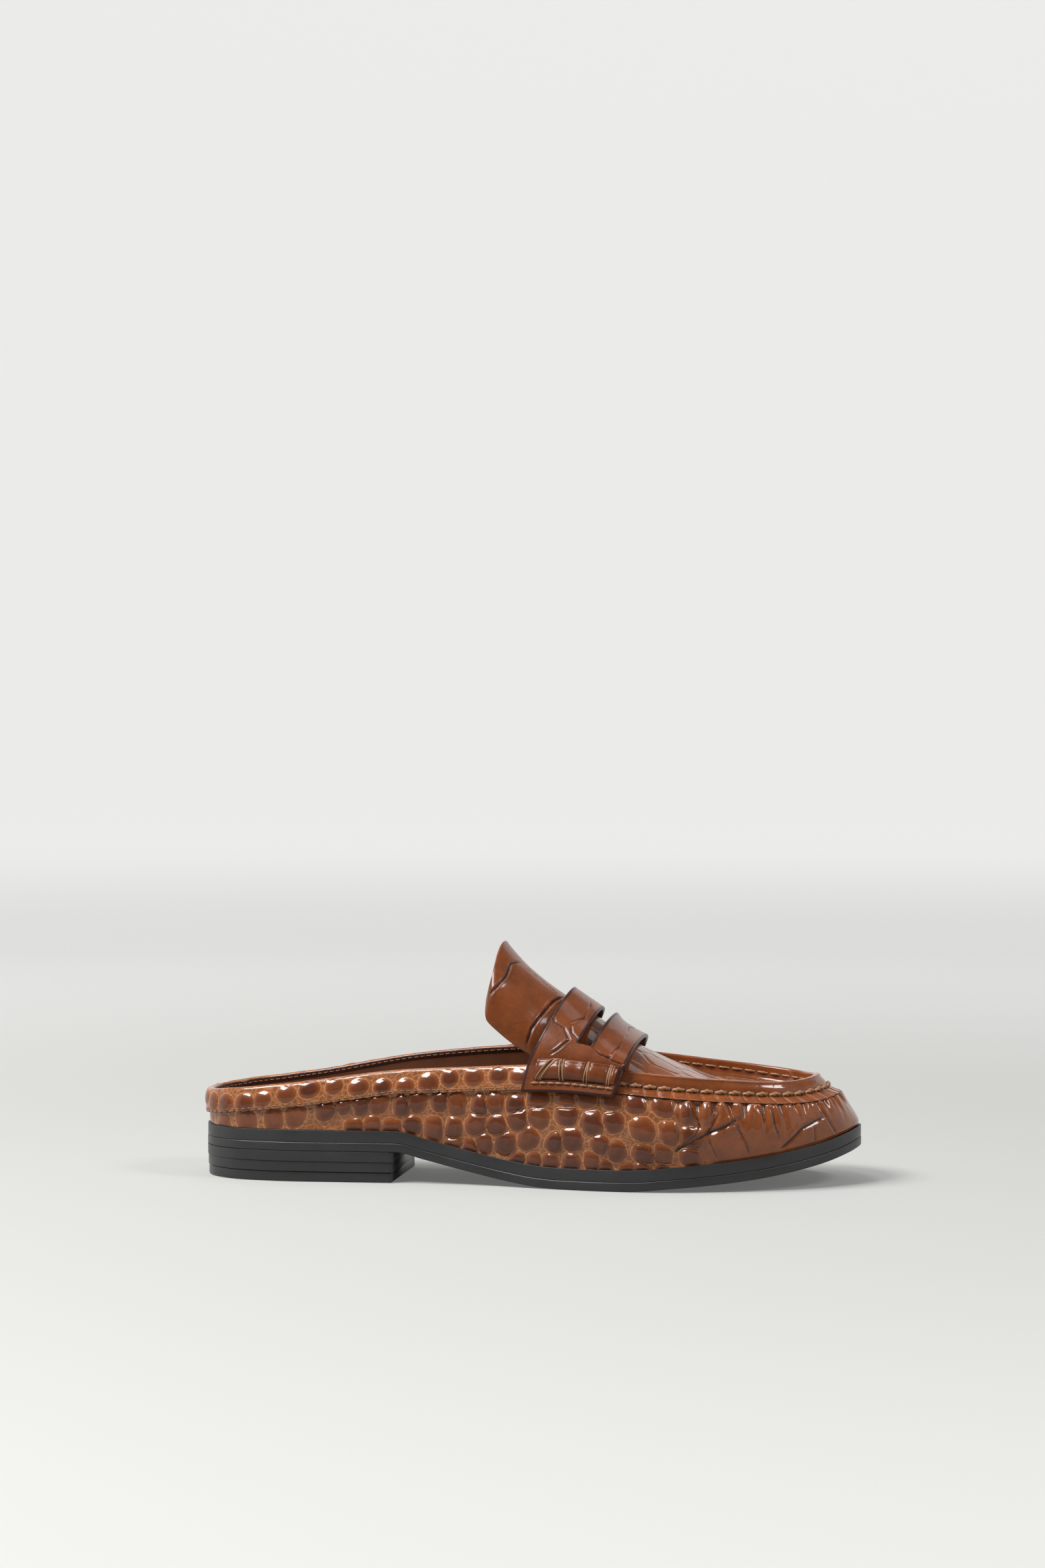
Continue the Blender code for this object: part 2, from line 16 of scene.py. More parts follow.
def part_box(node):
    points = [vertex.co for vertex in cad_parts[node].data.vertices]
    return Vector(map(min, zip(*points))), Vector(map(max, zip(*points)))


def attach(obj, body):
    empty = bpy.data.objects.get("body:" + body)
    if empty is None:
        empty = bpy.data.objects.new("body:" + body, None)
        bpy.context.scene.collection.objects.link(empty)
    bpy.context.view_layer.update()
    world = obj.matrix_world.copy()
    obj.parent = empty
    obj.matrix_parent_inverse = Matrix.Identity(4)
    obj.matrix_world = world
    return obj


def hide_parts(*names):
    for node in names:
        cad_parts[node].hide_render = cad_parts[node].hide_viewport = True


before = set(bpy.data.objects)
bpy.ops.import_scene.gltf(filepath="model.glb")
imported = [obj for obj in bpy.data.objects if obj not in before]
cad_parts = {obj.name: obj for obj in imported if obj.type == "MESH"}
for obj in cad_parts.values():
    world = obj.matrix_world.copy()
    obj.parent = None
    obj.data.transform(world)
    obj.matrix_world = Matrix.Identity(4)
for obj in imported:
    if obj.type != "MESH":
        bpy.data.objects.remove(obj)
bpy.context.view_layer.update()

MM = 0.001
print("nodes:", ", ".join(sorted(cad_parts)))

# %% [markdown]
# ## The last, from sizes and sections
# A shoemaker builds on a last. Here it is a ring of sections round the foot, read by smooth curves. The
# table is the one that the solids were made from, so each visible skin lies where its solid lies. Reading
# it with arrays lets a skin have tens of thousands of points and still be made in a moment.

# %% Sizes of the shoe
length = 262 * MM
ball_width = 88 * MM
heel_height = 20.4 * MM
toe_spring = 14.2 * MM
instep_rise = 62 * MM
outsole_thick = 3.6 * MM
midsole_thick = 4.4 * MM
insole_thick = 2.5 * MM
insole_gap = 0.7 * MM
heel_length = 80 * MM
heel_taper = 0.25 * MM
edge_break = 0.7 * MM
midsole_inset = 0.7 * MM
upper_inset = 1.0 * MM
seat_gap = 0.3 * MM
wall_thick = 1.6 * MM
band_height = 9.4 * MM
band_thick = 1.0 * MM
flange_drop = 8.6 * MM
flange_proud = 0.7 * MM
flange_top = 5.4 * MM
flange_reach = 1.4 * MM
toe_flange_drop = 7.6 * MM
toe_flange_top = 4.8 * MM
toe_flange_reach = 3.4 * MM
ridge_width = 2.6 * MM
ridge_depth = 5.2 * MM
ridge_soften = 0.5 * MM
tongue_thick = 2.0 * MM
saddle_thick = 1.7 * MM
saddle_lift_rear = 5.4 * MM
saddle_lift_front = 3.7 * MM
saddle_foot_rise = 1.0 * MM
saddle_drop = 9.8 * MM
roll_bulge = 2.8 * MM
sole_thick = outsole_thick + seat_gap + midsole_thick
heel_drop = heel_height - sole_thick
print("sole", round(sole_thick / MM, 1), "mm thick, heel", round(heel_drop / MM, 1), "mm under it")

# %% Tables of the last
#        foot_along foot_out top_along top_out  rise   belly  curl
heel_row = (0.0000, 0.000, 0.0048, 0.000, 0.216, 0.005, 1.5)
toe_row = (1.0000, 0.062, 0.9380, 0.050, 0.318, 0.008, 1.15)
lateral_rows = (
    (0.0160, -0.168, 0.0190, -0.155, 0.223, 0.006, 1.5),
    (0.0510, -0.268, 0.0530, -0.248, 0.243, 0.008, 1.5),
    (0.1180, -0.328, 0.1190, -0.300, 0.274, 0.010, 1.5),
    (0.2210, -0.336, 0.2210, -0.300, 0.330, 0.013, 1.6),
    (0.3360, -0.334, 0.3360, -0.300, 0.417, 0.017, 1.7),
    (0.4470, -0.364, 0.4470, -0.332, 0.552, 0.022, 2.0),
    (0.5460, -0.434, 0.5450, -0.384, 0.640, 0.024, 2.5),
    (0.6490, -0.491, 0.6450, -0.406, 0.613, 0.024, 3.2),
    (0.7520, -0.480, 0.7410, -0.382, 0.543, 0.022, 3.2),
    (0.8470, -0.394, 0.8270, -0.302, 0.473, 0.020, 2.8),
    (0.9280, -0.260, 0.8950, -0.190, 0.393, 0.016, 2.2),
    (0.9790, -0.108, 0.9280, -0.072, 0.345, 0.014, 1.6),
)
medial_rows = (
    (0.0160, 0.166, 0.0190, 0.153, 0.222, 0.006, 1.5),
    (0.0510, 0.264, 0.0530, 0.243, 0.239, 0.008, 1.5),
    (0.1180, 0.322, 0.1190, 0.293, 0.267, 0.010, 1.5),
    (0.2210, 0.320, 0.2210, 0.284, 0.343, 0.015, 1.6),
    (0.3360, 0.280, 0.3360, 0.258, 0.455, 0.028, 1.7),
    (0.4470, 0.260, 0.4470, 0.258, 0.610, 0.042, 2.0),
    (0.5460, 0.298, 0.5450, 0.298, 0.676, 0.042, 2.5),
    (0.6490, 0.411, 0.6450, 0.338, 0.648, 0.028, 3.2),
    (0.7520, 0.484, 0.7420, 0.378, 0.566, 0.022, 3.2),
    (0.8470, 0.484, 0.8290, 0.380, 0.487, 0.020, 2.8),
    (0.9280, 0.410, 0.8970, 0.308, 0.398, 0.016, 2.2),
    (0.9790, 0.252, 0.9280, 0.178, 0.343, 0.014, 1.6),
)
# Underside of the sole: along, share of the heel's drop, share of the toe spring
under_rows = np.array((
    (0.000, 1.000, 0.000), (0.310, 1.000, 0.000), (0.350, 0.800, 0.000), (0.420, 0.440, 0.000),
    (0.480, 0.180, 0.000), (0.530, 0.035, 0.000), (0.565, 0.000, 0.000), (0.660, 0.000, 0.000),
    (0.730, 0.000, 0.090), (0.850, 0.000, 0.310), (0.940, 0.000, 0.620), (0.985, 0.000, 0.880),
    (1.000, 0.000, 1.000),
))
# Crown of plug and tongue: along, height above the midsole as a share of the instep's rise
crown_rows = np.array((
    (0.460, 1.342), (0.487, 1.228), (0.555, 1.035), (0.607, 0.895), (0.674, 0.706),
    (0.720, 0.590), (0.773, 0.478), (0.850, 0.375), (0.925, 0.290),
))
# Tongue rows: crown along; lateral edge along, out, above the rim; medial edge along, out, above
tongue_rows = (
    (0.5520, 0.5190, -0.352, 0.050, 0.5190, 0.272, 0.030),
    (0.5220, 0.4920, -0.362, 0.135, 0.4920, 0.286, 0.100),
    (0.4930, 0.4660, -0.348, 0.225, 0.4660, 0.284, 0.180),
    (0.4710, 0.4470, -0.333, 0.310, 0.4470, 0.275, 0.255),
    (0.4620, 0.4450, -0.292, 0.415, 0.4450, 0.246, 0.350),
)
saddle_foot = (0.511, 0.648)
saddle_leave = (0.519, 0.665)
saddle_crown = (0.564, 0.668)
slot_rear, slot_front, slot_end = 0.41, 0.575, 0.26
ring_rows = np.array((heel_row,) + lateral_rows + (toe_row,) + medial_rows[::-1])
row_count = len(ring_rows)
toe_at = len(lateral_rows) + 1
throat_at = 7
chord = np.hypot((np.roll(ring_rows[:, 0], -1) - ring_rows[:, 0]) * length,
                 (np.roll(ring_rows[:, 1], -1) - ring_rows[:, 1]) * ball_width)
print(row_count, "sections, toe at", toe_at)


# %% Curves that read the tables
def hermite(a, b, slope_a, slope_b, span, t):
    t2, t3 = t * t, t * t * t
    value = a * (2 * t3 - 3 * t2 + 1) + b * (3 * t2 - 2 * t3)
    return value + span * (slope_a * (t3 - 2 * t2 + t) + slope_b * (t3 - t2))


def smooth(table, column, at):
    """Monotone cubic through one column of a table."""
    x, y = table[:, 0], table[:, column]
    at = np.clip(np.asarray(at, float), x[0], x[-1])
    step = np.diff(x)
    rise = np.diff(y) / step
    slope = np.zeros(len(x))
    same = rise[:-1] * rise[1:] > 0
    total = np.where(same, rise[:-1] + rise[1:], 1.0)
    slope[1:-1] = np.where(same, 2 * rise[:-1] * rise[1:] / total, 0.0)
    slope[0], slope[-1] = rise[0], rise[-1]
    k = np.clip(np.searchsorted(x, at, side="right") - 1, 0, len(step) - 1)
    return hermite(y[k], y[k + 1], slope[k], slope[k + 1], step[k], (at - x[k]) / step[k])


def underside(x):
    share = np.asarray(x, float) / length
    return heel_drop * smooth(under_rows, 1, share) + toe_spring * smooth(under_rows, 2, share)


def sole_top(x):
    return underside(x) + sole_thick


def crown_height(x):
    return sole_top(x) + instep_rise * smooth(crown_rows, 1, np.asarray(x, float) / length)


def ring(u):
    """Rows of the ring table at u, on a smooth closed curve: heel 0, toe 13, heel again at 26."""
    u = np.atleast_1d(np.asarray(u, float))
    k = np.floor(u).astype(int) % row_count
    t = (u - np.floor(u))[:, None]

    def slope(n):
        before, after = chord[(n - 1) % row_count][:, None], chord[n % row_count][:, None]
        here = ring_rows[n % row_count]
        to_here = (here - ring_rows[(n - 1) % row_count]) / before
        from_here = (ring_rows[(n + 1) % row_count] - here) / after
        return (to_here * after + from_here * before) / (before + after)

    return hermite(ring_rows[k], ring_rows[(k + 1) % row_count], slope(k), slope(k + 1), chord[k][:, None], t)


def outline(u):
    """Edge of the outsole in plan, and its outward direction."""
    small = 0.01
    row, ahead, behind = ring(u), ring(np.asarray(u) + small), ring(np.asarray(u) - small)
    run = (ahead - behind)[:, :2] * (length, ball_width)
    run /= np.linalg.norm(run, axis=1)[:, None]
    return row[:, :2] * (length, ball_width), np.stack([run[:, 1], -run[:, 0]], 1)


def ring_at(side, x):
    """Place on the ring where the foot of the wall lies at x, on side -1 (lateral) or +1 (medial)."""
    x = np.atleast_1d(np.asarray(x, float))
    low = np.full(len(x), 0.0 if side < 0 else float(row_count))
    high = np.full(len(x), float(toe_at))
    for _ in range(40):
        middle = (low + high) / 2
        behind = ring(middle)[:, 0] * length < x
        low = np.where(behind, middle, low)
        high = np.where(behind, high, middle)
    return (low + high) / 2


def even_out(values, reach):
    """Moving average round a closed ring, run three times, which is close to a bell curve."""
    count = len(values)
    for _ in range(3):
        padded = np.concatenate([values[-reach:], values, values[:reach]])
        total = np.concatenate([[0], np.cumsum(padded)])
        values = (total[2 * reach + 1:] - total[:-2 * reach - 1]) / (2 * reach + 1)
        values = values[:count]
    return values


# The sole bends sharply in front of the heel, but the rim above it is one smooth line
rim_u = np.linspace(0, row_count, 2601)[:-1]
rim_z = sole_top(outline(rim_u)[0][:, 0]) + ring(rim_u)[:, 4] * instep_rise
rim_lift = even_out(rim_z, 38) - rim_z
print("rim evened by", round(np.abs(rim_lift).max() / MM, 2), "mm at most")


def wall(u, t, out=0.0):
    """Outer face of the plain wall: a column for each u, a level for each share t of the height."""
    row = ring(u)
    edge, outward = outline(u)
    t = np.asarray(t, float)
    t = np.broadcast_to(t, (len(row), t.shape[-1]))
    foot = edge - outward * upper_inset
    top = row[:, 2:4] * (length, ball_width)
    share = np.maximum(t, 0.0)[..., None] ** row[:, None, 6:7]
    plan = foot[:, None] + (top - foot)[:, None] * share
    swell = row[:, None, 5] * ball_width * np.sin(np.pi * np.clip(t, 0.0, 1.0)) + out
    plan = plan + outward[:, None] * swell[..., None]
    lift = np.interp(np.atleast_1d(u) % row_count, rim_u, rim_lift, period=row_count)
    z = (sole_top(edge[:, 0]) + seat_gap)[:, None] + (row[:, 4] * instep_rise + lift)[:, None] * t
    return np.concatenate([plan, z[..., None]], -1)


def wall_rise(u):
    return ring(u)[:, 4] * instep_rise


# %% Where the last stands in the frame
fine_ring = np.linspace(0, row_count, 79)[:-1]
sole_edge = outline(fine_ring)[0]
box_low, box_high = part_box("outsole")
shift = np.array([(box_low[0] + box_high[0]) / 2 - (sole_edge[:, 0].min() + sole_edge[:, 0].max()) / 2,
                  (box_low[1] + box_high[1]) / 2 - (sole_edge[:, 1].min() + sole_edge[:, 1].max()) / 2, 0.0])
print("last to frame:", np.round(shift / MM, 3), "mm")


# %% [markdown]
# ## Small tools for skins
# A skin is a grid of points with a direction outward. A sheet of leather is two such grids with a rounded
# edge between them. Each point also carries a chart: how far it is up a scale, how dark that scale is, and
# how much dark paint it has, which is edge paint on cut edges and painted shade in the troughs of folds,
# creases and grooves. Folds also add painted shade to the darkness. The shader reads the chart, so colour and
# relief always agree.

# %% Grids, normals and meshes
def unit(v):
    return v / np.maximum(np.linalg.norm(v, axis=-1, keepdims=True), 1e-12)


def normals_of(grid, closed=False):
    """Directions square to a grid, from its first axis to its second."""
    if closed:
        along = np.roll(grid, -1, 0) - np.roll(grid, 1, 0)
    else:
        along = np.gradient(grid, axis=0)
    return unit(np.cross(along, np.gradient(grid, axis=1)))


def step01(low, high, value):
    t = np.clip((value - low) / (high - low), 0.0, 1.0)
    return t * t * (3 - 2 * t)


def quads_of(rows, columns, closed=False, keep=None):
    r = np.arange(rows if closed else rows - 1)
    c = np.arange(columns - 1)
    a = (r[:, None] * columns + c[None]).ravel()
    b = (((r + 1) % rows)[:, None] * columns + c[None]).ravel()
    quads = np.stack([a, b, b + 1, a + 1], 1)
    if keep is not None:
        quads = quads[keep.ravel()]
    return quads


def make_piece(name, points, faces, shade, replaced, chart=None, merge=False):
    """Make a mesh, tie it to the shoe and hide the solid that it stands for, if any."""
    mesh = bpy.data.meshes.new(name)
    mesh.from_pydata((np.asarray(points) + shift).tolist(), [], [tuple(map(int, f)) for f in faces])
    if chart is not None:
        full = np.ones((len(points), 4))
        full[:, :chart.shape[1]] = chart
        layer = mesh.attributes.new("chart", "FLOAT_COLOR", "POINT")
        layer.data.foreach_set("color", full.ravel())
    if merge:
        work = bmesh.new()
        work.from_mesh(mesh)
        bmesh.ops.remove_doubles(work, verts=work.verts, dist=0.002 * MM)
        bmesh.ops.dissolve_degenerate(work, dist=0.001 * MM, edges=work.edges)
        loose = [v for v in work.verts if not v.link_faces]
        bmesh.ops.delete(work, geom=loose, context="VERTS")
        work.to_mesh(mesh)
        work.free()
    mesh.validate()
    mesh.shade_smooth()
    mesh.materials.append(shade)
    piece = bpy.data.objects.new(name, mesh)
    bpy.context.scene.collection.objects.link(piece)
    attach(piece, "root")
    if replaced:
        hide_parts(replaced)
    print(name, sum(len(p.vertices) - 2 for p in mesh.polygons), "triangles")
    return piece


def chart_of(shape, up=1.0, dark=0.0, paint=0.0):
    chart = np.zeros(shape + (3,))
    chart[..., 0], chart[..., 1], chart[..., 2] = up, dark, paint
    return chart


def sheet_of(outer, inner, chart, keep=None, paint=1.0, round_steps=3):
    """Close two grids with a rounded, painted edge. Returns points, faces and chart."""
    rows, columns = outer.shape[:2]
    count = rows * columns
    quads = quads_of(rows, columns, keep=keep)
    flat_out, flat_in = outer.reshape(-1, 3), inner.reshape(-1, 3)
    used = np.zeros(count, bool)
    used[quads.ravel()] = True
    edges = {}
    for face in quads.tolist():
        for a, b in zip(face, face[1:] + face[:1]):
            edges[(a, b)] = True
    border = [(a, b) for a, b in edges if (b, a) not in edges]
    centre = np.zeros((count, 3))
    number = np.zeros(count)
    middles = flat_out[quads].mean(1)
    for k in range(4):
        np.add.at(centre, quads[:, k], middles)
        np.add.at(number, quads[:, k], 1)
    rim = sorted({v for edge in border for v in edge})
    away = unit(flat_out[rim] - centre[rim] / number[rim][:, None])
    middle = (flat_out[rim] + flat_in[rim]) / 2
    half = flat_out[rim] - middle
    thick = np.linalg.norm(half, axis=1, keepdims=True)
    points = [flat_out, flat_in]
    place = {v: k for k, v in enumerate(rim)}
    for k in range(1, round_steps + 1):
        angle = math.pi * k / (round_steps + 1)
        points.append(middle + half * math.cos(angle) + away * thick * 0.7 * math.sin(angle))
    faces = quads.tolist() + (quads[:, ::-1] + count).tolist()
    for a, b in border:
        left = [a] + [2 * count + k * len(rim) + place[a] for k in range(round_steps)] + [count + a]
        right = [b] + [2 * count + k * len(rim) + place[b] for k in range(round_steps)] + [count + b]
        for k in range(round_steps + 1):
            faces.append((right[k], left[k], left[k + 1], right[k + 1]))
    chart = chart.reshape(-1, 3).copy()
    chart[rim, 2] = np.maximum(chart[rim, 2], paint * 0.8)
    rounds = np.tile(chart[rim], (round_steps, 1))
    rounds[:, 2] = paint
    back = chart.copy()
    back[:, 0], back[:, 1] = 1.0, 0.0
    back[np.setdiff1d(np.arange(count), rim), 2] = 0.0
    points = np.concatenate(points)
    chart = np.concatenate([chart, back, rounds])
    alive = np.zeros(len(points), bool)
    alive[np.concatenate([np.asarray(f) for f in faces])] = True
    new_index = np.cumsum(alive) - 1
    faces = [tuple(int(new_index[v]) for v in f) for f in faces]
    return points[alive], faces, chart[alive]

# %% [markdown]
# ## Camera, floor and light
# The picture is taken from the outer side, a little from the toe and just above the floor, with a long
# lens. The camera is aimed a little over the shoe instead of being shifted, so that every other view stays
# centred. Large soft lamps give the long, clean highlights that a glossy leather needs.

# %% Camera
camera_azimuth, camera_elevation, camera_distance = 8.1753, 6.2485, 1.8
aim_azimuth, aim_elevation, aim_lens = 8.2887, 2.2198, 155.16
shoe_middle = Vector((0.131, 0.0, 0.030)) + Vector(shift)


def from_angles(azimuth, elevation):
    a, e = math.radians(azimuth), math.radians(elevation)
    return Vector((math.sin(a) * math.cos(e), -math.cos(a) * math.cos(e), math.sin(e)))


camera = bpy.data.objects.new("camera", bpy.data.cameras.new("camera"))
bpy.context.scene.collection.objects.link(camera)
back = from_angles(aim_azimuth, aim_elevation)
right = Vector((-back.y, back.x, 0)).normalized()
turn = Matrix((right, back.cross(right), back)).transposed().to_4x4()
turn.translation = shoe_middle + from_angles(camera_azimuth, camera_elevation) * camera_distance
camera.matrix_world = turn
camera.data.sensor_fit = "HORIZONTAL"
camera.data.sensor_width = 36
camera.data.lens = aim_lens
camera.data.clip_end = 20
bpy.context.scene.camera = camera
bpy.context.scene.view_settings.view_transform = "Standard"
print("camera at", [round(v, 3) for v in turn.translation])


# %% Helpers for shader nodes
def new_material(name):
    shade = bpy.data.materials.new(name)
    shade.use_nodes = True
    tree = shade.node_tree
    return shade, tree, tree.nodes["Principled BSDF"]


def place(tree, kind, values=None, **settings):
    node = tree.nodes.new(kind)
    for key, value in settings.items():
        setattr(node, key, value)
    for key, value in (values or {}).items():
        if isinstance(value, bpy.types.NodeSocket):
            tree.links.new(value, node.inputs[key])
        else:
            node.inputs[key].default_value = value
    return node


def maths(tree, operation, a, b=None, clamp=False):
    values = {0: a} if b is None else {0: a, 1: b}
    return place(tree, "ShaderNodeMath", values, operation=operation, use_clamp=clamp).outputs[0]


def mix_color(tree, factor, a, b, blend="MIX"):
    node = tree.nodes.new("ShaderNodeMix")
    node.data_type, node.blend_type = "RGBA", blend
    for key, value in (("Factor_Float", factor), ("A_Color", a), ("B_Color", b)):
        socket = next(s for s in node.inputs if s.identifier == key)
        if isinstance(value, bpy.types.NodeSocket):
            tree.links.new(value, socket)
        else:
            socket.default_value = value
    return next(s for s in node.outputs if s.identifier == "Result_Color")


def ramp(tree, value, low, high, start=0.0, end=1.0):
    node = place(tree, "ShaderNodeMapRange", {0: value, 1: low, 2: high, 3: start, 4: end})
    node.interpolation_type = "SMOOTHSTEP"
    return node.outputs[0]


def srgb(red, green, blue):
    return tuple(((c / 255 + 0.055) / 1.055) ** 2.4 if c > 10 else c / 255 / 12.92
                 for c in (red, green, blue)) + (1.0,)


def new_group(name, inputs, outputs):
    group = bpy.data.node_groups.new(name, "ShaderNodeTree")
    for label, value in inputs:
        socket = group.interface.new_socket(label, in_out="INPUT", socket_type="NodeSocketFloat")
        socket.default_value = value
    for label in outputs:
        group.interface.new_socket(label, in_out="OUTPUT", socket_type="NodeSocketFloat")
    return group, group.nodes.new("NodeGroupInput"), group.nodes.new("NodeGroupOutput")


# %% [markdown]
# ## Floor and light
# A sheet of pale paper rolls up behind the shoe. One broad lamp over the front gives the white streaks on the
# leather, one from behind draws the shadow towards the heel and the toe, and the sky fills the rest. The paper
# also glows, faintly near the shoe and brighter further off: painted light that lifts the shadows.

# %% Floor
paper, tree, shader = new_material("pale_paper")
cloud = place(tree, "ShaderNodeTexNoise", {"Scale": 1.2, "Detail": 2.0})
tree.links.new(mix_color(tree, cloud.outputs["Fac"], srgb(152, 153, 150), srgb(156, 156, 153)),
               shader.inputs["Base Color"])
shader.inputs["Roughness"].default_value = 0.9
shader.inputs["Specular IOR Level"].default_value = 0.1
spots = place(tree, "ShaderNodeTexCoord")
far = place(tree, "ShaderNodeVectorMath", {0: spots.outputs["Object"]}, operation="LENGTH")
# Painted light: the paper glows, faint near the shoe and brighter further off, lifting shadows and backdrop
painted_glow = mix_color(tree, ramp(tree, far.outputs["Value"], 0.2, 1.1), (0.12, 0.12, 0.118, 1.0), (0.39, 0.39, 0.385, 1.0))
painted_glow = mix_color(tree, ramp(tree, far.outputs["Value"], 0.9, 2.6), painted_glow, (0.64, 0.64, 0.63, 1.0))
tree.links.new(painted_glow, shader.inputs["Emission Color"])
shader.inputs["Emission Strength"].default_value = 1.0
# Floor disc, then a wall that rises behind and beside the shoe. The front stays open, so that dark air is
# what the near side of the leather reflects.
sweep_profile = [(0.0, 0.0), (1.2, 0.0), (2.4, 0.0)]
sweep_profile += [(2.4 + 1.2 * math.sin(a), 1.2 - 1.2 * math.cos(a)) for a in np.radians(np.arange(10, 91, 10))]
sweep_profile += [(3.6, 1.9)]
sweep_turns = np.radians(np.arange(-30, 211, 5))
sweep_points = [(r * math.cos(a), r * math.sin(a), z) for a in sweep_turns for r, z in sweep_profile[1:]]
ring_size = len(sweep_profile) - 1
sweep_faces = [(k * ring_size + n, k * ring_size + n + 1, (k + 1) * ring_size + n + 1, (k + 1) * ring_size + n)
               for k in range(len(sweep_turns) - 1) for n in range(ring_size - 1)]
sweep_mesh = bpy.data.meshes.new("paper_sweep")
sweep_mesh.from_pydata(sweep_points, [], [tuple(reversed(face)) for face in sweep_faces])
sweep_mesh.shade_smooth()
sweep_mesh.materials.append(paper)
sweep = bpy.data.objects.new("paper_sweep", sweep_mesh)
bpy.context.scene.collection.objects.link(sweep)
floor_mesh = bpy.data.meshes.new("paper_floor")
floor_mesh.from_pydata([(-9.0, -9.0, -0.0001), (9.0, -9.0, -0.0001), (9.0, 9.0, -0.0001), (-9.0, 9.0, -0.0001)], [],
                       [(0, 1, 2, 3)])
floor_mesh.materials.append(paper)
floor = bpy.data.objects.new("paper_floor", floor_mesh)
bpy.context.scene.collection.objects.link(floor)
print("paper sweep", len(sweep_mesh.polygons), "faces")


# %% Lamps
def soft_lamp(name, azimuth, elevation, distance, width, height, power, color=(1.0, 1.0, 1.0)):
    lamp = bpy.data.objects.new(name, bpy.data.lights.new(name, "AREA"))
    lamp.data.shape = "RECTANGLE"
    lamp.data.size, lamp.data.size_y = width, height
    lamp.data.energy = power
    lamp.data.color = color
    towards = from_angles(azimuth, elevation)
    lamp.location = shoe_middle + towards * distance
    lamp.rotation_euler = towards.to_track_quat("Z", "Y").to_euler()
    bpy.context.scene.collection.objects.link(lamp)


soft_lamp("lamp_front", -54, 52, 1.6, 0.9, 0.5, 35)
soft_lamp("lamp_high", -64, 76, 1.6, 0.7, 0.4, 9)
soft_lamp("lamp_toe", 68, 42, 1.5, 0.30, 0.40, 7)
soft_lamp("lamp_top", 172, 70, 1.7, 1.4, 0.6, 4)
world = bpy.context.scene.world or bpy.data.worlds.new("studio")
bpy.context.scene.world = world
world.use_nodes = True
world.node_tree.nodes["Background"].inputs["Color"].default_value = (1.0, 0.995, 0.985, 1.0)
world.node_tree.nodes["Background"].inputs["Strength"].default_value = 0.18
print("lamps: 4")

# %% [markdown]
# ## Finishes that share effects
# Leather, lining and sole all vary a little in colour, have a fine grain and show fine lines. Each of these
# effects is one node group. A material places it with its own size and strength, so that one well made
# effect serves many surfaces.

# %% Shared effects: mottle, grain and fine lines
mottle, group_in, group_out = new_group("mottle", (("Size", 300.0), ("Contrast", 0.5)), ("Value",))
spots = place(mottle, "ShaderNodeTexCoord")
cloudy = place(mottle, "ShaderNodeTexNoise", {"Vector": spots.outputs["Object"], "Detail": 4.0, "Roughness": 0.6})
mottle.links.new(group_in.outputs["Size"], cloudy.inputs["Scale"])
centred = maths(mottle, "SUBTRACT", cloudy.outputs["Fac"], 0.5)
stretched = maths(mottle, "MULTIPLY", centred, group_in.outputs["Contrast"])
mottle.links.new(maths(mottle, "ADD", stretched, 0.5, clamp=True), group_out.inputs["Value"])

grain, group_in, group_out = new_group("grain", (("Size", 1500.0), ("Depth", 1.0)), ("Height",))
spots = place(grain, "ShaderNodeTexCoord")
pores = place(grain, "ShaderNodeTexNoise", {"Vector": spots.outputs["Object"], "Detail": 3.0, "Roughness": 0.55})
grain.links.new(group_in.outputs["Size"], pores.inputs["Scale"])
cells = place(grain, "ShaderNodeTexVoronoi", {"Vector": spots.outputs["Object"]})
grain.links.new(group_in.outputs["Size"], cells.inputs["Scale"])
both = maths(grain, "ADD", pores.outputs["Fac"], maths(grain, "MULTIPLY", cells.outputs["Distance"], 0.4))
grain.links.new(maths(grain, "MULTIPLY", both, group_in.outputs["Depth"]), group_out.inputs["Height"])

lines, group_in, group_out = new_group("fine_lines", (("Across", 900.0), ("Along", 20.0), ("Lean", 0.0)),
                                       ("Height",))
spots = place(lines, "ShaderNodeTexCoord")
turned = place(lines, "ShaderNodeSeparateXYZ", {"Vector": spots.outputs["Object"]})
leaning = maths(lines, "ADD", turned.outputs["Z"],
                maths(lines, "MULTIPLY", turned.outputs["X"], group_in.outputs["Lean"]))
stretched = place(lines, "ShaderNodeCombineXYZ", {
    "X": maths(lines, "MULTIPLY", turned.outputs["X"], group_in.outputs["Along"]),
    "Y": maths(lines, "MULTIPLY", turned.outputs["Y"], group_in.outputs["Along"]),
    "Z": maths(lines, "MULTIPLY", leaning, group_in.outputs["Across"])})
streaks = place(lines, "ShaderNodeTexNoise", {"Vector": stretched.outputs[0], "Scale": 1.0, "Detail": 2.0})
lines.links.new(streaks.outputs["Fac"], group_out.inputs["Height"])
web, group_in, group_out = new_group("crinkle_web", (("Size", 420.0), ("Mask", 1.0)), ("Height",))
spots = place(web, "ShaderNodeTexCoord")
warp = place(web, "ShaderNodeTexNoise", {"Vector": spots.outputs["Object"], "Scale": 300.0})
moved = place(web, "ShaderNodeVectorMath", {0: warp.outputs["Color"], 1: (0.0022, 0.0022, 0.0022)}, operation="MULTIPLY")
moved = place(web, "ShaderNodeVectorMath", {0: moved.outputs[0], 1: spots.outputs["Object"]}, operation="ADD")
net = place(web, "ShaderNodeTexVoronoi", {"Vector": moved.outputs[0]}, feature="DISTANCE_TO_EDGE")
web.links.new(group_in.outputs["Size"], net.inputs["Scale"])
ridge = ramp(web, net.outputs["Distance"], 0.0, 0.16, 1.0, 0.0)
web.links.new(maths(web, "MULTIPLY", ridge, group_in.outputs["Mask"]), group_out.inputs["Height"])
print("effects:", ", ".join(g.name for g in (mottle, grain, lines, web)))


def effect(tree, group, **values):
    node = tree.nodes.new("ShaderNodeGroup")
    node.node_tree = group
    for key, value in values.items():
        node.inputs[key].default_value = value
    return node.outputs[0]


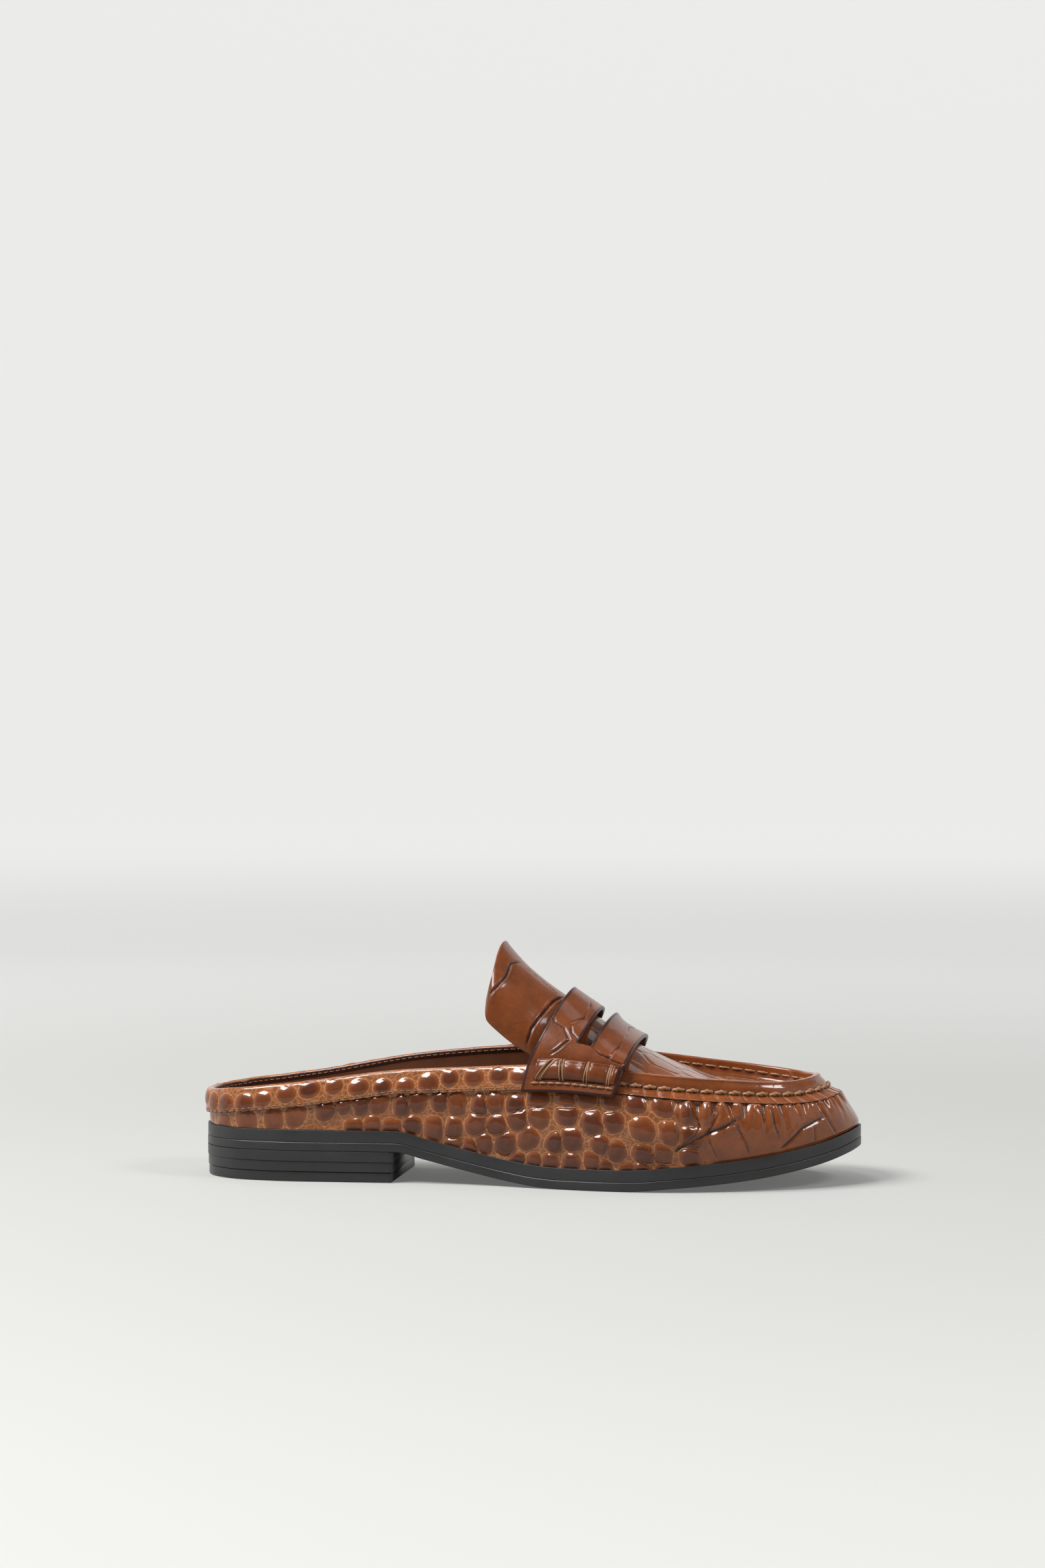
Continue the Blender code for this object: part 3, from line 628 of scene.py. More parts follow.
# %% [markdown]
# ## Embossed leather
# The hide is dyed tan, embossed with hot scales and polished. The tops of the scales take more dye and
# darken, the creases between them stay light, and a clear finish lies over everything. So the colour
# follows the chart from crease to crown, and the gloss is a thin coat over a soft base.

# %% Embossed leather
crease_color, body_color, crown_color = srgb(134, 79, 42), srgb(127, 66, 28), srgb(64, 24, 12)
edge_paint_and_shade_color = srgb(50, 26, 24)


def embossed_leather(name, light=crease_color, body=body_color, crown=crown_color, coat=0.8, rough=0.34,
                     grain_depth=1.0, coat_rough=0.07, sheen=0.12, streaks=0.0):
    shade, tree, shader = new_material(name)
    chart = place(tree, "ShaderNodeAttribute", attribute_name="chart", attribute_type="GEOMETRY")
    parts = place(tree, "ShaderNodeSeparateColor", {"Color": chart.outputs["Color"]})
    up, dark, paint = parts.outputs[0], parts.outputs[1], parts.outputs[2]
    broad = effect(tree, mottle, Size=140.0, Contrast=1.5)
    small = effect(tree, mottle, Size=900.0, Contrast=1.1)
    low = maths(tree, "MULTIPLY", ramp(tree, up, 0.30, 0.08), chart.outputs["Alpha"])
    net = tree.nodes.new("ShaderNodeGroup")
    net.node_tree = web
    net.inputs["Size"].default_value = 430.0
    tree.links.new(low, net.inputs["Mask"])
    ridges = net.outputs["Height"]
    color = mix_color(tree, ramp(tree, up, 0.0, 0.4), light, body)
    crowned = maths(tree, "MULTIPLY", ramp(tree, up, 0.16, 0.72), dark, clamp=True)
    uneven = maths(tree, "MULTIPLY", crowned, ramp(tree, small, 0.1, 0.75, 0.65, 1.0), clamp=True)
    color = mix_color(tree, uneven, color, crown)
    color = mix_color(tree, ramp(tree, broad, 0.2, 0.8, 0.0, 0.30), color, crown, "MULTIPLY")
    color = mix_color(tree, ramp(tree, small, 0.3, 0.9, 0.0, 0.16), color, light)
    color = mix_color(tree, maths(tree, "MULTIPLY", ridges, 0.3), color, srgb(190, 132, 88))
    ring_line = maths(tree, "MULTIPLY", ramp(tree, up, 0.05, 0.10), ramp(tree, up, 0.18, 0.13), clamp=True)
    ring_line = maths(tree, "MULTIPLY", ring_line, chart.outputs["Alpha"])
    color = mix_color(tree, maths(tree, "MULTIPLY", ring_line, 0.5), color, srgb(188, 128, 82))
    # Dark paint: edge paint on cut edges, and painted shade in the troughs of creases, folds, pleats and grooves.
    color = mix_color(tree, ramp(tree, paint, 0.35, 0.8), color, edge_paint_and_shade_color)
    tree.links.new(color, shader.inputs["Base Color"])
    tree.links.new(ramp(tree, up, 0.0, 0.6, rough + 0.14, rough), shader.inputs["Roughness"])
    tree.links.new(ramp(tree, paint, 0.3, 0.9, coat, coat * 0.4), shader.inputs["Coat Weight"])
    shader.inputs["Coat Roughness"].default_value = coat_rough
    shader.inputs["Coat IOR"].default_value = 1.5
    shader.inputs["Specular IOR Level"].default_value = sheen
    fine = effect(tree, grain, Size=2600.0, Depth=0.35 * grain_depth)
    coarse = effect(tree, grain, Size=650.0, Depth=1.0 * grain_depth)
    height = maths(tree, "ADD", maths(tree, "ADD", fine, coarse), maths(tree, "MULTIPLY", ridges, 1.2))
    drawn = effect(tree, lines, Across=1700.0, Along=90.0, Lean=0.85)
    height = maths(tree, "ADD", height, maths(tree, "MULTIPLY", drawn, streaks))
    bump = place(tree, "ShaderNodeBump", {"Height": height, "Strength": 0.35, "Distance": 0.00025})
    tree.links.new(bump.outputs["Normal"], shader.inputs["Normal"])
    return shade


scale_leather = embossed_leather("embossed_leather")
smooth_leather = embossed_leather("embossed_leather_smooth", body=srgb(109, 55, 23), rough=0.36, coat=0.42,
                                  grain_depth=0.7, coat_rough=0.14, sheen=0.12, streaks=1.5)
print("leathers:", scale_leather.name, smooth_leather.name)

# %% [markdown]
# ## Lining, thread and sole
# The lining is a soft brown leather that shines a little and wrinkles on a slant. The thread is waxed. The
# sole's edge is dyed black and burnished, which leaves fine level lines in a satin finish.

# %% Lining, thread and sole finishes
lining_leather, tree, shader = new_material("lining")
broad = effect(tree, mottle, Size=90.0, Contrast=1.2)
tree.links.new(mix_color(tree, broad, srgb(104, 66, 46), srgb(132, 88, 62)), shader.inputs["Base Color"])
shader.inputs["Roughness"].default_value = 0.42
wrinkles = effect(tree, lines, Across=420.0, Along=160.0, Lean=1.2)
pores = effect(tree, grain, Size=1400.0, Depth=0.5)
bump = place(tree, "ShaderNodeBump", {"Height": maths(tree, "ADD", wrinkles, pores),
                                      "Strength": 0.5, "Distance": 0.0003})
tree.links.new(bump.outputs["Normal"], shader.inputs["Normal"])

thread_finish, tree, shader = new_material("thread")
chart = place(tree, "ShaderNodeAttribute", attribute_name="chart", attribute_type="GEOMETRY")
parts = place(tree, "ShaderNodeSeparateColor", {"Color": chart.outputs["Color"]})
# The chart's first channel is the painted shade of the twist, from dark to light.
tree.links.new(mix_color(tree, parts.outputs[0], srgb(56, 32, 21), srgb(146, 102, 66)), shader.inputs["Base Color"])
shader.inputs["Roughness"].default_value = 0.45
fibres = effect(tree, grain, Size=4000.0, Depth=1.0)
bump = place(tree, "ShaderNodeBump", {"Height": fibres, "Strength": 0.4, "Distance": 0.0001})
tree.links.new(bump.outputs["Normal"], shader.inputs["Normal"])

sole_finish, tree, shader = new_material("sole")
broad = effect(tree, mottle, Size=60.0, Contrast=1.6)
level = effect(tree, lines, Across=2600.0, Along=14.0, Lean=0.0)
dust = effect(tree, mottle, Size=1800.0, Contrast=1.4)
color = mix_color(tree, broad, srgb(30, 30, 31), srgb(39, 39, 40))
color = mix_color(tree, ramp(tree, level, 0.60, 0.78, 0.0, 0.04), color, srgb(66, 66, 67))
color = mix_color(tree, ramp(tree, dust, 0.78, 0.95, 0.0, 0.25), color, srgb(90, 90, 90))
tree.links.new(color, shader.inputs["Base Color"])
tree.links.new(ramp(tree, broad, 0.2, 0.8, 0.36, 0.5), shader.inputs["Roughness"])
height = maths(tree, "ADD", level, effect(tree, grain, Size=1800.0, Depth=0.4))
bump = place(tree, "ShaderNodeBump", {"Height": height, "Strength": 0.06, "Distance": 0.0001})
tree.links.new(bump.outputs["Normal"], shader.inputs["Normal"])

insole_finish, tree, shader = new_material("insole")
broad = effect(tree, mottle, Size=70.0, Contrast=1.2)
tree.links.new(mix_color(tree, broad, srgb(112, 72, 50), srgb(140, 94, 66)), shader.inputs["Base Color"])
shader.inputs["Roughness"].default_value = 0.5
pores = effect(tree, grain, Size=1100.0, Depth=0.6)
bump = place(tree, "ShaderNodeBump", {"Height": pores, "Strength": 0.4, "Distance": 0.0002})
tree.links.new(bump.outputs["Normal"], shader.inputs["Normal"])
print("finishes:", lining_leather.name, thread_finish.name, sole_finish.name, insole_finish.name)


# %% [markdown]
# ## Sole and heel
# The outsole, midsole and lifts are cut to the outline, glued and ground flush, so their edges are smooth
# and only thin lines part them. Each layer is swept round the outline with a small section of its own, with
# rounded edges. The section can take shallow grooves, but none are cut: the fine level lines are in the finish.

# %% Layers of the sole
def round_edge(inset, top, bottom, radius, grooves=()):
    """Section of a layer's side, from its lower to its upper face, as (inset, height)."""
    section = [(inset + radius * (1 - math.sin(a)), bottom + radius * (1 - math.cos(a)))
               for a in np.radians((0, 25, 50, 70, 90))]
    for groove in grooves:
        section += [(inset, groove - 0.22 * MM), (inset + 0.16 * MM, groove), (inset, groove + 0.22 * MM)]
    section += [(inset + radius * (1 - math.cos(a)), top - radius * (1 - math.sin(a)))
                for a in np.radians((0, 25, 50, 70, 90))]
    return section


def sole_plate(name, section, shade):
    """Sweep a section round the outline and close its two faces in strips across the sole."""
    steps = 468
    half = steps // 2
    u = np.linspace(0, row_count, steps + 1)[:-1]
    edge, outward = outline(u)
    rows = []
    for inset, height in section:
        plan = edge - outward * inset
        rows.append(np.concatenate([plan, (underside(plan[:, 0]) + height)[:, None]], 1))
    points = np.concatenate(rows)
    faces = []
    for level in range(len(section) - 1):
        for k in range(steps):
            a, b = level * steps + k, level * steps + (k + 1) % steps
            faces.append((a, b, b + steps, a + steps))
    start = (len(section) - 1) * steps
    for k in range(half):
        low = [k, k + 1, (steps - k - 1) % steps, (steps - k) % steps]
        low = [p for n, p in enumerate(low) if p not in low[:n]]
        if len(low) > 2:
            faces.append(tuple(reversed(low)))
            faces.append(tuple(start + p for p in low))
    return make_piece(name + "_layer", points, faces, shade, name, merge=True)


sole_plate("outsole", round_edge(0.0, outsole_thick, 0.0, 0.5 * MM),
           sole_finish)
midsole_base = outsole_thick + seat_gap * 0.2
sole_plate("midsole", round_edge(0.1 * MM, sole_thick, midsole_base, 0.12 * MM), sole_finish)
insole_edge = upper_inset + wall_thick + insole_gap
sole_plate("insole", round_edge(insole_edge, sole_thick + seat_gap + insole_thick, sole_thick + seat_gap,
                                0.9 * MM), insole_finish)


# %% Heel lifts
def lift_loop(inset):
    """A lift's outline, from the lateral end of the breast round the heel to its medial end."""
    front = heel_length - inset
    start, finish = ring_at(-1, front)[0], ring_at(1, front)[0]
    u = np.concatenate([np.linspace(start, 0.0, 90), np.linspace(row_count, finish, 90)[1:]])
    edge, outward = outline(u)
    plan = edge - outward * inset
    plan[[0, -1], 0] = front
    return plan


lift_names = ("heel_lift_upper", "heel_lift_lower", "heel_top_piece")
lift_thick = (heel_drop - seat_gap * len(lift_names)) / len(lift_names)
lift_edges = (0.05 * MM, 0.05 * MM, 0.5 * MM)
for number, name in enumerate(lift_names):
    top = heel_drop - 0.03 * MM - number * (lift_thick + seat_gap)
    bottom = max(top - lift_thick - seat_gap + 0.06 * MM, 0.0) if number < 2 else 0.0
    section = round_edge(heel_taper * number, top, bottom, lift_edges[number])
    loops = [lift_loop(inset) for inset, height in section]
    size = len(loops[0])
    points = np.concatenate([np.concatenate([loop, np.full((size, 1), height)], 1)
                             for loop, (inset, height) in zip(loops, section)])
    faces = [tuple(range(size))]
    for level in range(len(section) - 1):
        for k in range(size):
            a, b = level * size + k, level * size + (k + 1) % size
            faces.append((b, a, a + size, b + size))
    faces.append(tuple(reversed(range(len(points) - size, len(points)))))
    make_piece(name + "_layer", points, faces, sole_finish, name)

# %% [markdown]
# ## Scales
# The embossing plate is cut like a crocodile's flank: rounded scales in rows, each a low dome with a wide
# crease round it. It could be a Voronoi texture, but then every scale would be a polygon of one size. Here
# each scale has a place on a chart of the wall, laid out in rows of listed sizes, and the crease lies where
# two places are equally near. The dome is real relief, so it catches the lamps as the real one does.

# %% Relief from places on a chart
chance = np.random.default_rng(11)


def scale_relief(at, places, sizes, dark):
    """How far each point is up its oval scale, from the ground (0) to the crown (1), and its darkness."""
    flat = at.reshape(-1, 2)
    up, darkness = np.zeros(len(flat)), np.zeros(len(flat))
    for start in range(0, len(flat), 4000):
        part = flat[start:start + 4000]
        away = part[:, None] - places[None]
        near = np.argpartition((away ** 2).sum(-1), 5, axis=1)[:, :6]
        away = np.take_along_axis(away, near[..., None], 1)
        half_long, half_tall, turn = np.moveaxis(sizes[near], -1, 0)
        along = away[..., 0] * np.cos(turn) + away[..., 1] * np.sin(turn)
        across = away[..., 1] * np.cos(turn) - away[..., 0] * np.sin(turn)
        oval = (np.abs(along / half_long) ** 2.2 + np.abs(across / half_tall) ** 2.2) ** (1 / 2.2)
        order = np.argsort(oval, 1)
        first, second = np.take_along_axis(oval, order[:, :2], 1).T
        up[start:start + 4000] = np.clip(1.22 - first, 0, 1) * step01(0.0, 0.34, second - first)
        darkness[start:start + 4000] = dark[np.take_along_axis(near, order[:, :1], 1)[:, 0]]
    return up.reshape(at.shape[:-1]), darkness.reshape(at.shape[:-1])


def swing(at, size, seed):
    """A soft random value that wanders along a line of length at, in steps of about size."""
    knots = np.random.default_rng(seed).uniform(-1, 1, int(at.max() / size) + 4)
    place_at = at / size
    k = np.floor(place_at).astype(int)
    t = place_at - k
    t = t * t * (3 - 2 * t)
    return knots[k] * (1 - t) + knots[k + 1] * t


def trough(points, path, width, depth, lip=0.35):
    """Depth of a soft trough along a path of 3-D points, with a low ridge on both sides."""
    path = np.asarray(path)
    low, high = path.min(0) - 5 * width, path.max(0) + 5 * width
    flat = points.reshape(-1, 3)
    inside = np.all((flat > low) & (flat < high), axis=1)
    near = flat[inside]
    best = np.full(len(near), 1e9)
    fade = np.ones(len(near))
    run = np.concatenate([[0], np.cumsum(np.linalg.norm(np.diff(path, axis=0), axis=1))])
    for k in range(len(path) - 1):
        line = path[k + 1] - path[k]
        t = np.clip(((near - path[k]) @ line) / max(line @ line, 1e-12), 0, 1)
        far = np.linalg.norm(near - path[k] - t[:, None] * line, axis=1)
        here = far < best
        best = np.where(here, far, best)
        share = (run[k] + t * (run[k + 1] - run[k])) / run[-1]
        fade = np.where(here, np.minimum(step01(0.0, 0.18, share), step01(0.0, 0.18, 1 - share)), fade)
    result = np.zeros(len(flat))
    cut = np.exp(-(best / width) ** 2)
    ridge = np.exp(-((best - 2.0 * width) / (0.9 * width)) ** 2)
    result[inside] = (-depth * cut + depth * lip * ridge) * fade
    return result.reshape(points.shape[:-1])


# %% [markdown]
# ## Vamp and quarters
# One strip of leather runs all round the last, from the sole's edge up to the seam in front and to the
# collar band behind. Its chart counts millimetres along the wall and millimetres down from its upper edge,
# because the rows of scales follow that edge.

# %% The skin of the wall
wall_columns, wall_levels = 1120, 52
wall_u = np.linspace(0, row_count, wall_columns + 1)[:-1]


def front_share(u):
    """0 along the collar, 1 along the seam."""
    nearest = np.minimum(u, row_count - u)
    return np.clip((nearest - (throat_at - 0.67)) / 0.6, 0, 1)


def seam_sizes(u):
    toeward = np.maximum(outline(u)[1][:, 0], 0.0) ** 2
    drop = flange_drop + (toe_flange_drop - flange_drop) * toeward
    stand = flange_top + (toe_flange_top - flange_top) * toeward
    reach = flange_reach + (toe_flange_reach - flange_reach) * toeward
    return drop, stand, reach


def line_share(u):
    """Share of the wall's height where the band's or the flange's lower edge lies."""
    drop = seam_sizes(u)[0]
    return 1.0 - (band_height + (drop - band_height) * front_share(u)) / wall_rise(u)


wall_top = line_share(wall_u)
levels = np.linspace(-0.02, 1.0, wall_levels)
wall_grid = wall(wall_u, wall_top[:, None] * levels[None] + (levels[None] > 0.98) * 0.6 * MM / wall_rise(wall_u)[:, None])
wall_normal = normals_of(wall_grid, closed=True)
middle_line = wall_grid[:, wall_levels // 2]
steps_along = np.linalg.norm(np.roll(middle_line, -1, 0) - middle_line, axis=1)
wall_run = np.concatenate([[0], np.cumsum(steps_along)[:-1]]) / MM
wall_total = steps_along.sum() / MM
heights = np.linalg.norm(np.diff(wall_grid, axis=1), axis=2)
below = (np.concatenate([np.cumsum(heights[:, ::-1], 1)[:, ::-1], np.zeros((wall_columns, 1))], 1)) / MM
wall_tall = below[:, 0]
wall_x = wall_grid[:, wall_levels // 2, 0] / MM
toe_run = np.interp(toe_at, wall_u, wall_run)
print("wall", round(wall_total), "mm round,", round(wall_tall.min(), 1), "to", round(wall_tall.max(), 1), "mm tall")

# %% Places of the scales on the wall
# Each row: millimetres below the upper edge, and the length of its scales
scale_rows = ((4.3, 9.2), (13.4, 9.3), (22.2, 8.8), (29.6, 7.6), (36.0, 6.6))
wall_places, wall_sizes, wall_dark = [], [], []
for number, (down, pitch) in enumerate(scale_rows):
    run = pitch * (0.5 if number % 2 else 0.0)
    while run < wall_total - pitch * 0.4:
        column = np.searchsorted(wall_run, run) % wall_columns
        x, tall = wall_x[column], wall_tall[column]
        toeward, heelward, waist = step01(194, 214, x), step01(56, 42, x), step01(125, 112, x)
        lone = chance.uniform()
        if down < tall + 1.5 and lone > 0.35 * toeward:
            wander = chance.uniform(-1, 1, 2) * (0.15 * pitch + 1.0 * toeward)
            wave = 1.1 * math.sin(run / 17.0 + number)
            wall_places.append((run + wander[0], down + wander[1] + wave))
            wall_sizes.append((pitch * chance.uniform(0.47, 0.565) * (1 - 0.10 * waist), chance.uniform(4.4, 5.5)
                               * (pitch / 9.2) ** 0.7, chance.uniform(-0.35, 0.35)))
            wall_dark.append(chance.uniform(0.45, 1.0) * (1 - 0.55 * toeward) * (1 - 0.6 * heelward))
        run += pitch * (1 + 0.1 * step01(172, 186, x) + 0.3 * toeward + 0.4 * heelward - 0.14 * waist) * chance.uniform(0.87, 1.15)
wall_places, wall_sizes, wall_dark = np.array(wall_places), np.array(wall_sizes), np.array(wall_dark)
before = wall_places[:, 0] > wall_total - 30
after = wall_places[:, 0] < 30
all_places = np.concatenate([wall_places, wall_places[before] - (wall_total, 0), wall_places[after] + (wall_total, 0)])
all_sizes = np.concatenate([wall_sizes, wall_sizes[before], wall_sizes[after]])
all_dark = np.concatenate([wall_dark, wall_dark[before], wall_dark[after]])
print(len(wall_places), "scales on the wall")

# %% Pleats, folds and relief of the wall
chart_at = np.stack([np.broadcast_to(wall_run[:, None], below.shape), below], -1)
bend = np.stack([swing(chart_at[..., 1] * 1.0 + 40 * swing(chart_at[..., 0], 9.0, 5) ** 2, 3.0, 6),
                 swing(chart_at[..., 0], 4.0, 7)], -1) * 0.45
wall_up, wall_darkness = scale_relief(chart_at + bend, all_places, all_sizes, all_dark)
toeward = step01(200, 218, wall_x)[:, None]
heelward = step01(58, 38, wall_x)[:, None]
wall_up = 1 - (1 - wall_up) * (1 - toeward)
wall_darkness = wall_darkness * (1 - toeward)
scale_height = 1.4 * MM * (0.75 + 0.35 * wall_darkness) * (1 - 0.6 * heelward)
inside = np.clip((wall_up - 0.14) / 0.86, 0, 1)
dome = 1 - (1 - inside) ** 2
rim_line = np.exp(-((wall_up - 0.12) / 0.05) ** 2)
relief = (dome - 0.5 + 0.07 * rim_line) * scale_height

pleat_at = []
run = toe_run - 92.0
while run < toe_run + 96.0:
    pleat_at.append(run)
    run += chance.uniform(4.6, 8.8)
pleats = np.zeros_like(below)
for number, centre in enumerate(pleat_at):
    far = step01(30, 70, abs(centre - toe_run))
    lean, long, wide = chance.uniform(-0.3, 0.3), chance.uniform(4.5, 7.0) + 6 * far, chance.uniform(0.9, 1.2) + 0.3 * far
    deep = (chance.uniform(0.55, 0.9) + 0.5 * far) * MM * step01(96, 78, abs(centre - toe_run))
    across = (chart_at[..., 0] - centre - lean * below) / wide
    fade = np.exp(-(below / long) ** 2)
    pleats += -deep * np.exp(-across ** 2) * fade
    pleats += 0.55 * deep * (np.exp(-((across - 2.1) / 1.1) ** 2) + np.exp(-((across + 2.1) / 1.1) ** 2)) * fade
relief = relief + pleats
print(len(pleat_at), "pleats under the seam")


def on_wall(side, x, share):
    """Point of the wall at x, at a share of the way from the sole to the line."""
    u = ring_at(side, x * MM)
    return wall(u, (line_share(u) * share)[:, None])[0, 0]


# Folds: side, width and depth in mm, then (x in mm, share of the way up the wall)
wall_folds = (
    (-1, 0.9, 0.75, ((190, 0.16), (194, 0.24), (201, 0.40), (207, 0.52), (212, 0.60), (217, 0.72), (220, 0.84))),
    (-1, 0.65, 0.46, ((196, 0.30), (201, 0.48), (203, 0.62), (202, 0.78), (199, 0.98))),
    (-1, 0.8, 0.40, ((231, 0.04), (233, 0.08), (237, 0.24), (241, 0.44), (247, 0.56), (252, 0.64))),
    (-1, 0.62, 0.40, ((206, 0.46), (207, 0.32), (210, 0.02))),
    (-1, 0.62, 0.42, ((216, 0.74), (218, 0.52), (220, 0.32), (222, 0.02))),
    (-1, 0.62, 0.40, ((230, 1.0), (231, 0.82), (231, 0.62), (232, 0.46), (233, 0.22))),
    (-1, 0.60, 0.36, ((225, 0.98), (227, 0.80), (228, 0.60))),
    (-1, 0.60, 0.35, ((250, 0.82), (252, 0.40), (254, 0.02))),
    (-1, 0.58, 0.30, ((246, 0.46), (246, 0.02))),
    (-1, 0.60, 0.44, ((208, 1.0), (210, 0.80), (207, 0.58), (205, 0.47))),
    (1, 0.9, 0.65, ((188, 0.14), (196, 0.30), (204, 0.46), (212, 0.64), (218, 0.86))),
    (1, 0.65, 0.42, ((197, 0.34), (202, 0.56), (201, 0.80), (198, 0.98))),
    (1, 0.8, 0.38, ((224, 0.04), (231, 0.26), (238, 0.46), (246, 0.62))),
    (1, 0.60, 0.38, ((208, 0.44), (210, 0.24), (212, 0.02))),
    (1, 0.60, 0.38, ((221, 0.98), (223, 0.70), (222, 0.40))),
    (1, 0.60, 0.35, ((234, 0.98), (235, 0.64))),
    (1, 0.58, 0.32, ((246, 0.90), (249, 0.46), (250, 0.04))),
)
painted_fold_shade = np.zeros_like(below)
for side, width, depth, path in wall_folds:
    line = [on_wall(side, x, share) for x, share in path]
    fold = trough(wall_grid, line, width * MM, depth * MM)
    relief = relief + fold
    wall_up = np.minimum(wall_up, 1 - 0.9 * step01(0.12 * MM, 0.7 * depth * MM, -fold))
    # Painted shade: fold troughs get dark paint, and their sides get darker colour.
    painted_fold_shade = np.maximum(painted_fold_shade, 0.72 * step01(0.3 * depth * MM, 0.8 * depth * MM, -fold))
    shadow = step01(0.05 * MM, 0.6 * depth * MM, -fold) * (0.9 if depth > 0.44 else 0.4)
    wall_darkness = np.maximum(wall_darkness, shadow)
relief *= step01(0.0, 1.6, below) * 0.85 + 0.15
relief *= step01(0.0, 2.0, wall_tall[:, None] - below)
wall_skin = wall_grid + wall_normal * relief[..., None]
chart = chart_of(wall_up.shape, wall_up, wall_darkness)
chart[..., 0] *= 1 - 0.5 * step01(0.12 * MM, 0.5 * MM, -pleats)
# Painted shade: the troughs of the pleats get dark paint.
chart[..., 2] = np.maximum(painted_fold_shade, 0.55 * step01(0.35 * MM, 0.9 * MM, -pleats))
chart = np.concatenate([chart, np.broadcast_to(1 - step01(190, 208, wall_x)[:, None, None], chart.shape[:2] + (1,))], -1)
make_piece("vamp_and_quarters", wall_skin.reshape(-1, 3), quads_of(wall_columns, wall_levels, closed=True),
           scale_leather, "upper", chart.reshape(-1, 4))

# %% [markdown]
# ## Lining
# The inside is lined in soft leather that follows the wall at its thickness. Only its upper part shows, but
# it is made all the way down to the insole and forward into the toe, so that the mule is hollow from every
# side.

# %% Lining of wall and plug
lining_u = np.linspace(0, row_count, 521)[:-1]
is_front = front_share(lining_u)[:, None]
lining_rim = 1.0 - 0.8 * MM / wall_rise(lining_u)
lining_levels = np.linspace(0.0, 1.0, 26)
lining_top = line_share(lining_u) * front_share(lining_u) + lining_rim * (1 - front_share(lining_u))
lining_grid = wall(lining_u, lining_top[:, None] * lining_levels[None])
lining_grid = lining_grid - normals_of(lining_grid, closed=True) * wall_thick


def seam_points(u):
    """Top edge of the wall and outward directions, for the seam's section at u."""
    top = wall(u, np.ones(1))[:, 0]
    outward = np.concatenate([outline(u)[1], np.zeros((len(np.atleast_1d(u)), 1))], 1)
    return top, outward


up = np.array([0.0, 0.0, 1.0])


def seam_foot(u):
    """Inner foot of the standing seam, where the plug begins."""
    top, outward = seam_points(u)
    return top - outward * (ridge_width + ridge_soften) - up * ridge_depth


def plug_grid(from_u, rows, columns, drop=0.0):
    """Arches of the plug between paired sections, from the throat to the toe."""
    u = np.linspace(from_u, toe_at, rows)
    lateral, medial = seam_foot(u) - up * drop, seam_foot(row_count - u) - up * drop
    share = (toe_at - u) / (toe_at - throat_at)
    crown_x = (lateral[:, 0] + medial[:, 0]) / 2 + 0.0345 * length * np.clip(share, 0, None) ** 1.5
    height = np.maximum(np.maximum(crown_height(crown_x) - drop, lateral[:, 2]), medial[:, 2])
    crown = np.stack([crown_x, (lateral[:, 1] + medial[:, 1]) / 2, height], 1)
    return arch(lateral, crown, medial, np.linspace(-1, 1, columns))


def arch(lateral, crown, medial, share):
    """Rows of points on arches from the lateral (-1) over the crown (0) to the medial side (+1)."""
    lateral, crown, medial = (np.atleast_2d(v)[:, None] for v in (lateral, crown, medial))
    share = np.asarray(share, float)[None, :, None]
    side = np.where(share < 0, lateral, medial)
    angle = np.abs(share) * math.pi / 2
    return np.concatenate([
        crown[..., :1] + (side[..., :1] - crown[..., :1]) * (1 - np.cos(angle)),
        crown[..., 1:2] + (side[..., 1:2] - crown[..., 1:2]) * np.sin(angle),
        side[..., 2:] + (crown[..., 2:] - side[..., 2:]) * np.cos(angle)], -1)


lining_end = seam_foot(lining_u) - up * wall_thick
ease = np.linspace(0, 1, 9)[1:]
front_part = lining_grid[:, -1:] + (lining_end - lining_grid[:, -1])[:, None] * ease[None, :, None]
rear_part = np.repeat(lining_grid[:, -1:], len(ease), 1)
lining_skin = np.concatenate([lining_grid, front_part * is_front[..., None] + rear_part * (1 - is_front[..., None])], 1)
make_piece("lining", lining_skin.reshape(-1, 3)[:, :], quads_of(len(lining_u), lining_skin.shape[1], closed=True)[:, ::-1],
           lining_leather, "upper", merge=True)
under_plug = plug_grid(throat_at - 0.05, 60, 41, drop=wall_thick)
make_piece("plug_lining", under_plug.reshape(-1, 3), quads_of(60, 41)[:, ::-1], lining_leather, "upper",
           merge=True)

# %% [markdown]
# ## Collar band
# A strip of the same hide is stitched round the collar and folded over the rim. One row of long scales runs
# along it. Its section is drawn once, from the lower edge over the rim to the inside, and carried round.

# %% Collar band
band_last = throat_at - 0.12
band_u = np.linspace(-band_last, band_last, 760)
band_out = seat_gap + band_thick
# Section: distance out from the wall, height above the rim, in mm
band_section = [(0.35, -9.35), (0.75, -9.50), (1.15, -9.40), (1.30, -9.05)]
band_section += [(1.30, h) for h in np.linspace(-8.6, -1.2, 17)]
band_section += [(1.24, -0.7), (1.08, -0.3), (0.78, 0.0), (0.35, 0.16), (-0.1, 0.18), (-0.6, 0.1), (-1.1, -0.1),
                 (-1.5, -0.45), (-1.76, -0.9), (-1.86, -1.5), (-1.88, -2.2), (-1.84, -2.7), (-1.6, -2.95)]
band_section = np.array(band_section) * MM
band_rise = wall_rise(band_u)
band_t = 1.0 + band_section[None, :, 1] / band_rise[:, None]
band_grid = wall(band_u, np.minimum(band_t, 1.0), band_section[None, :, 0])
band_grid[..., 2] += np.maximum(band_t - 1.0, 0.0) * band_rise[:, None]
band_run = np.concatenate([[0], np.cumsum(np.linalg.norm(np.diff(band_grid[:, 10], axis=0), axis=1))]) / MM
band_height_at = band_section[:, 1] / MM + 9.4
outside = (np.arange(len(band_section)) < 25)[None]
band_places, run = [], 4.0
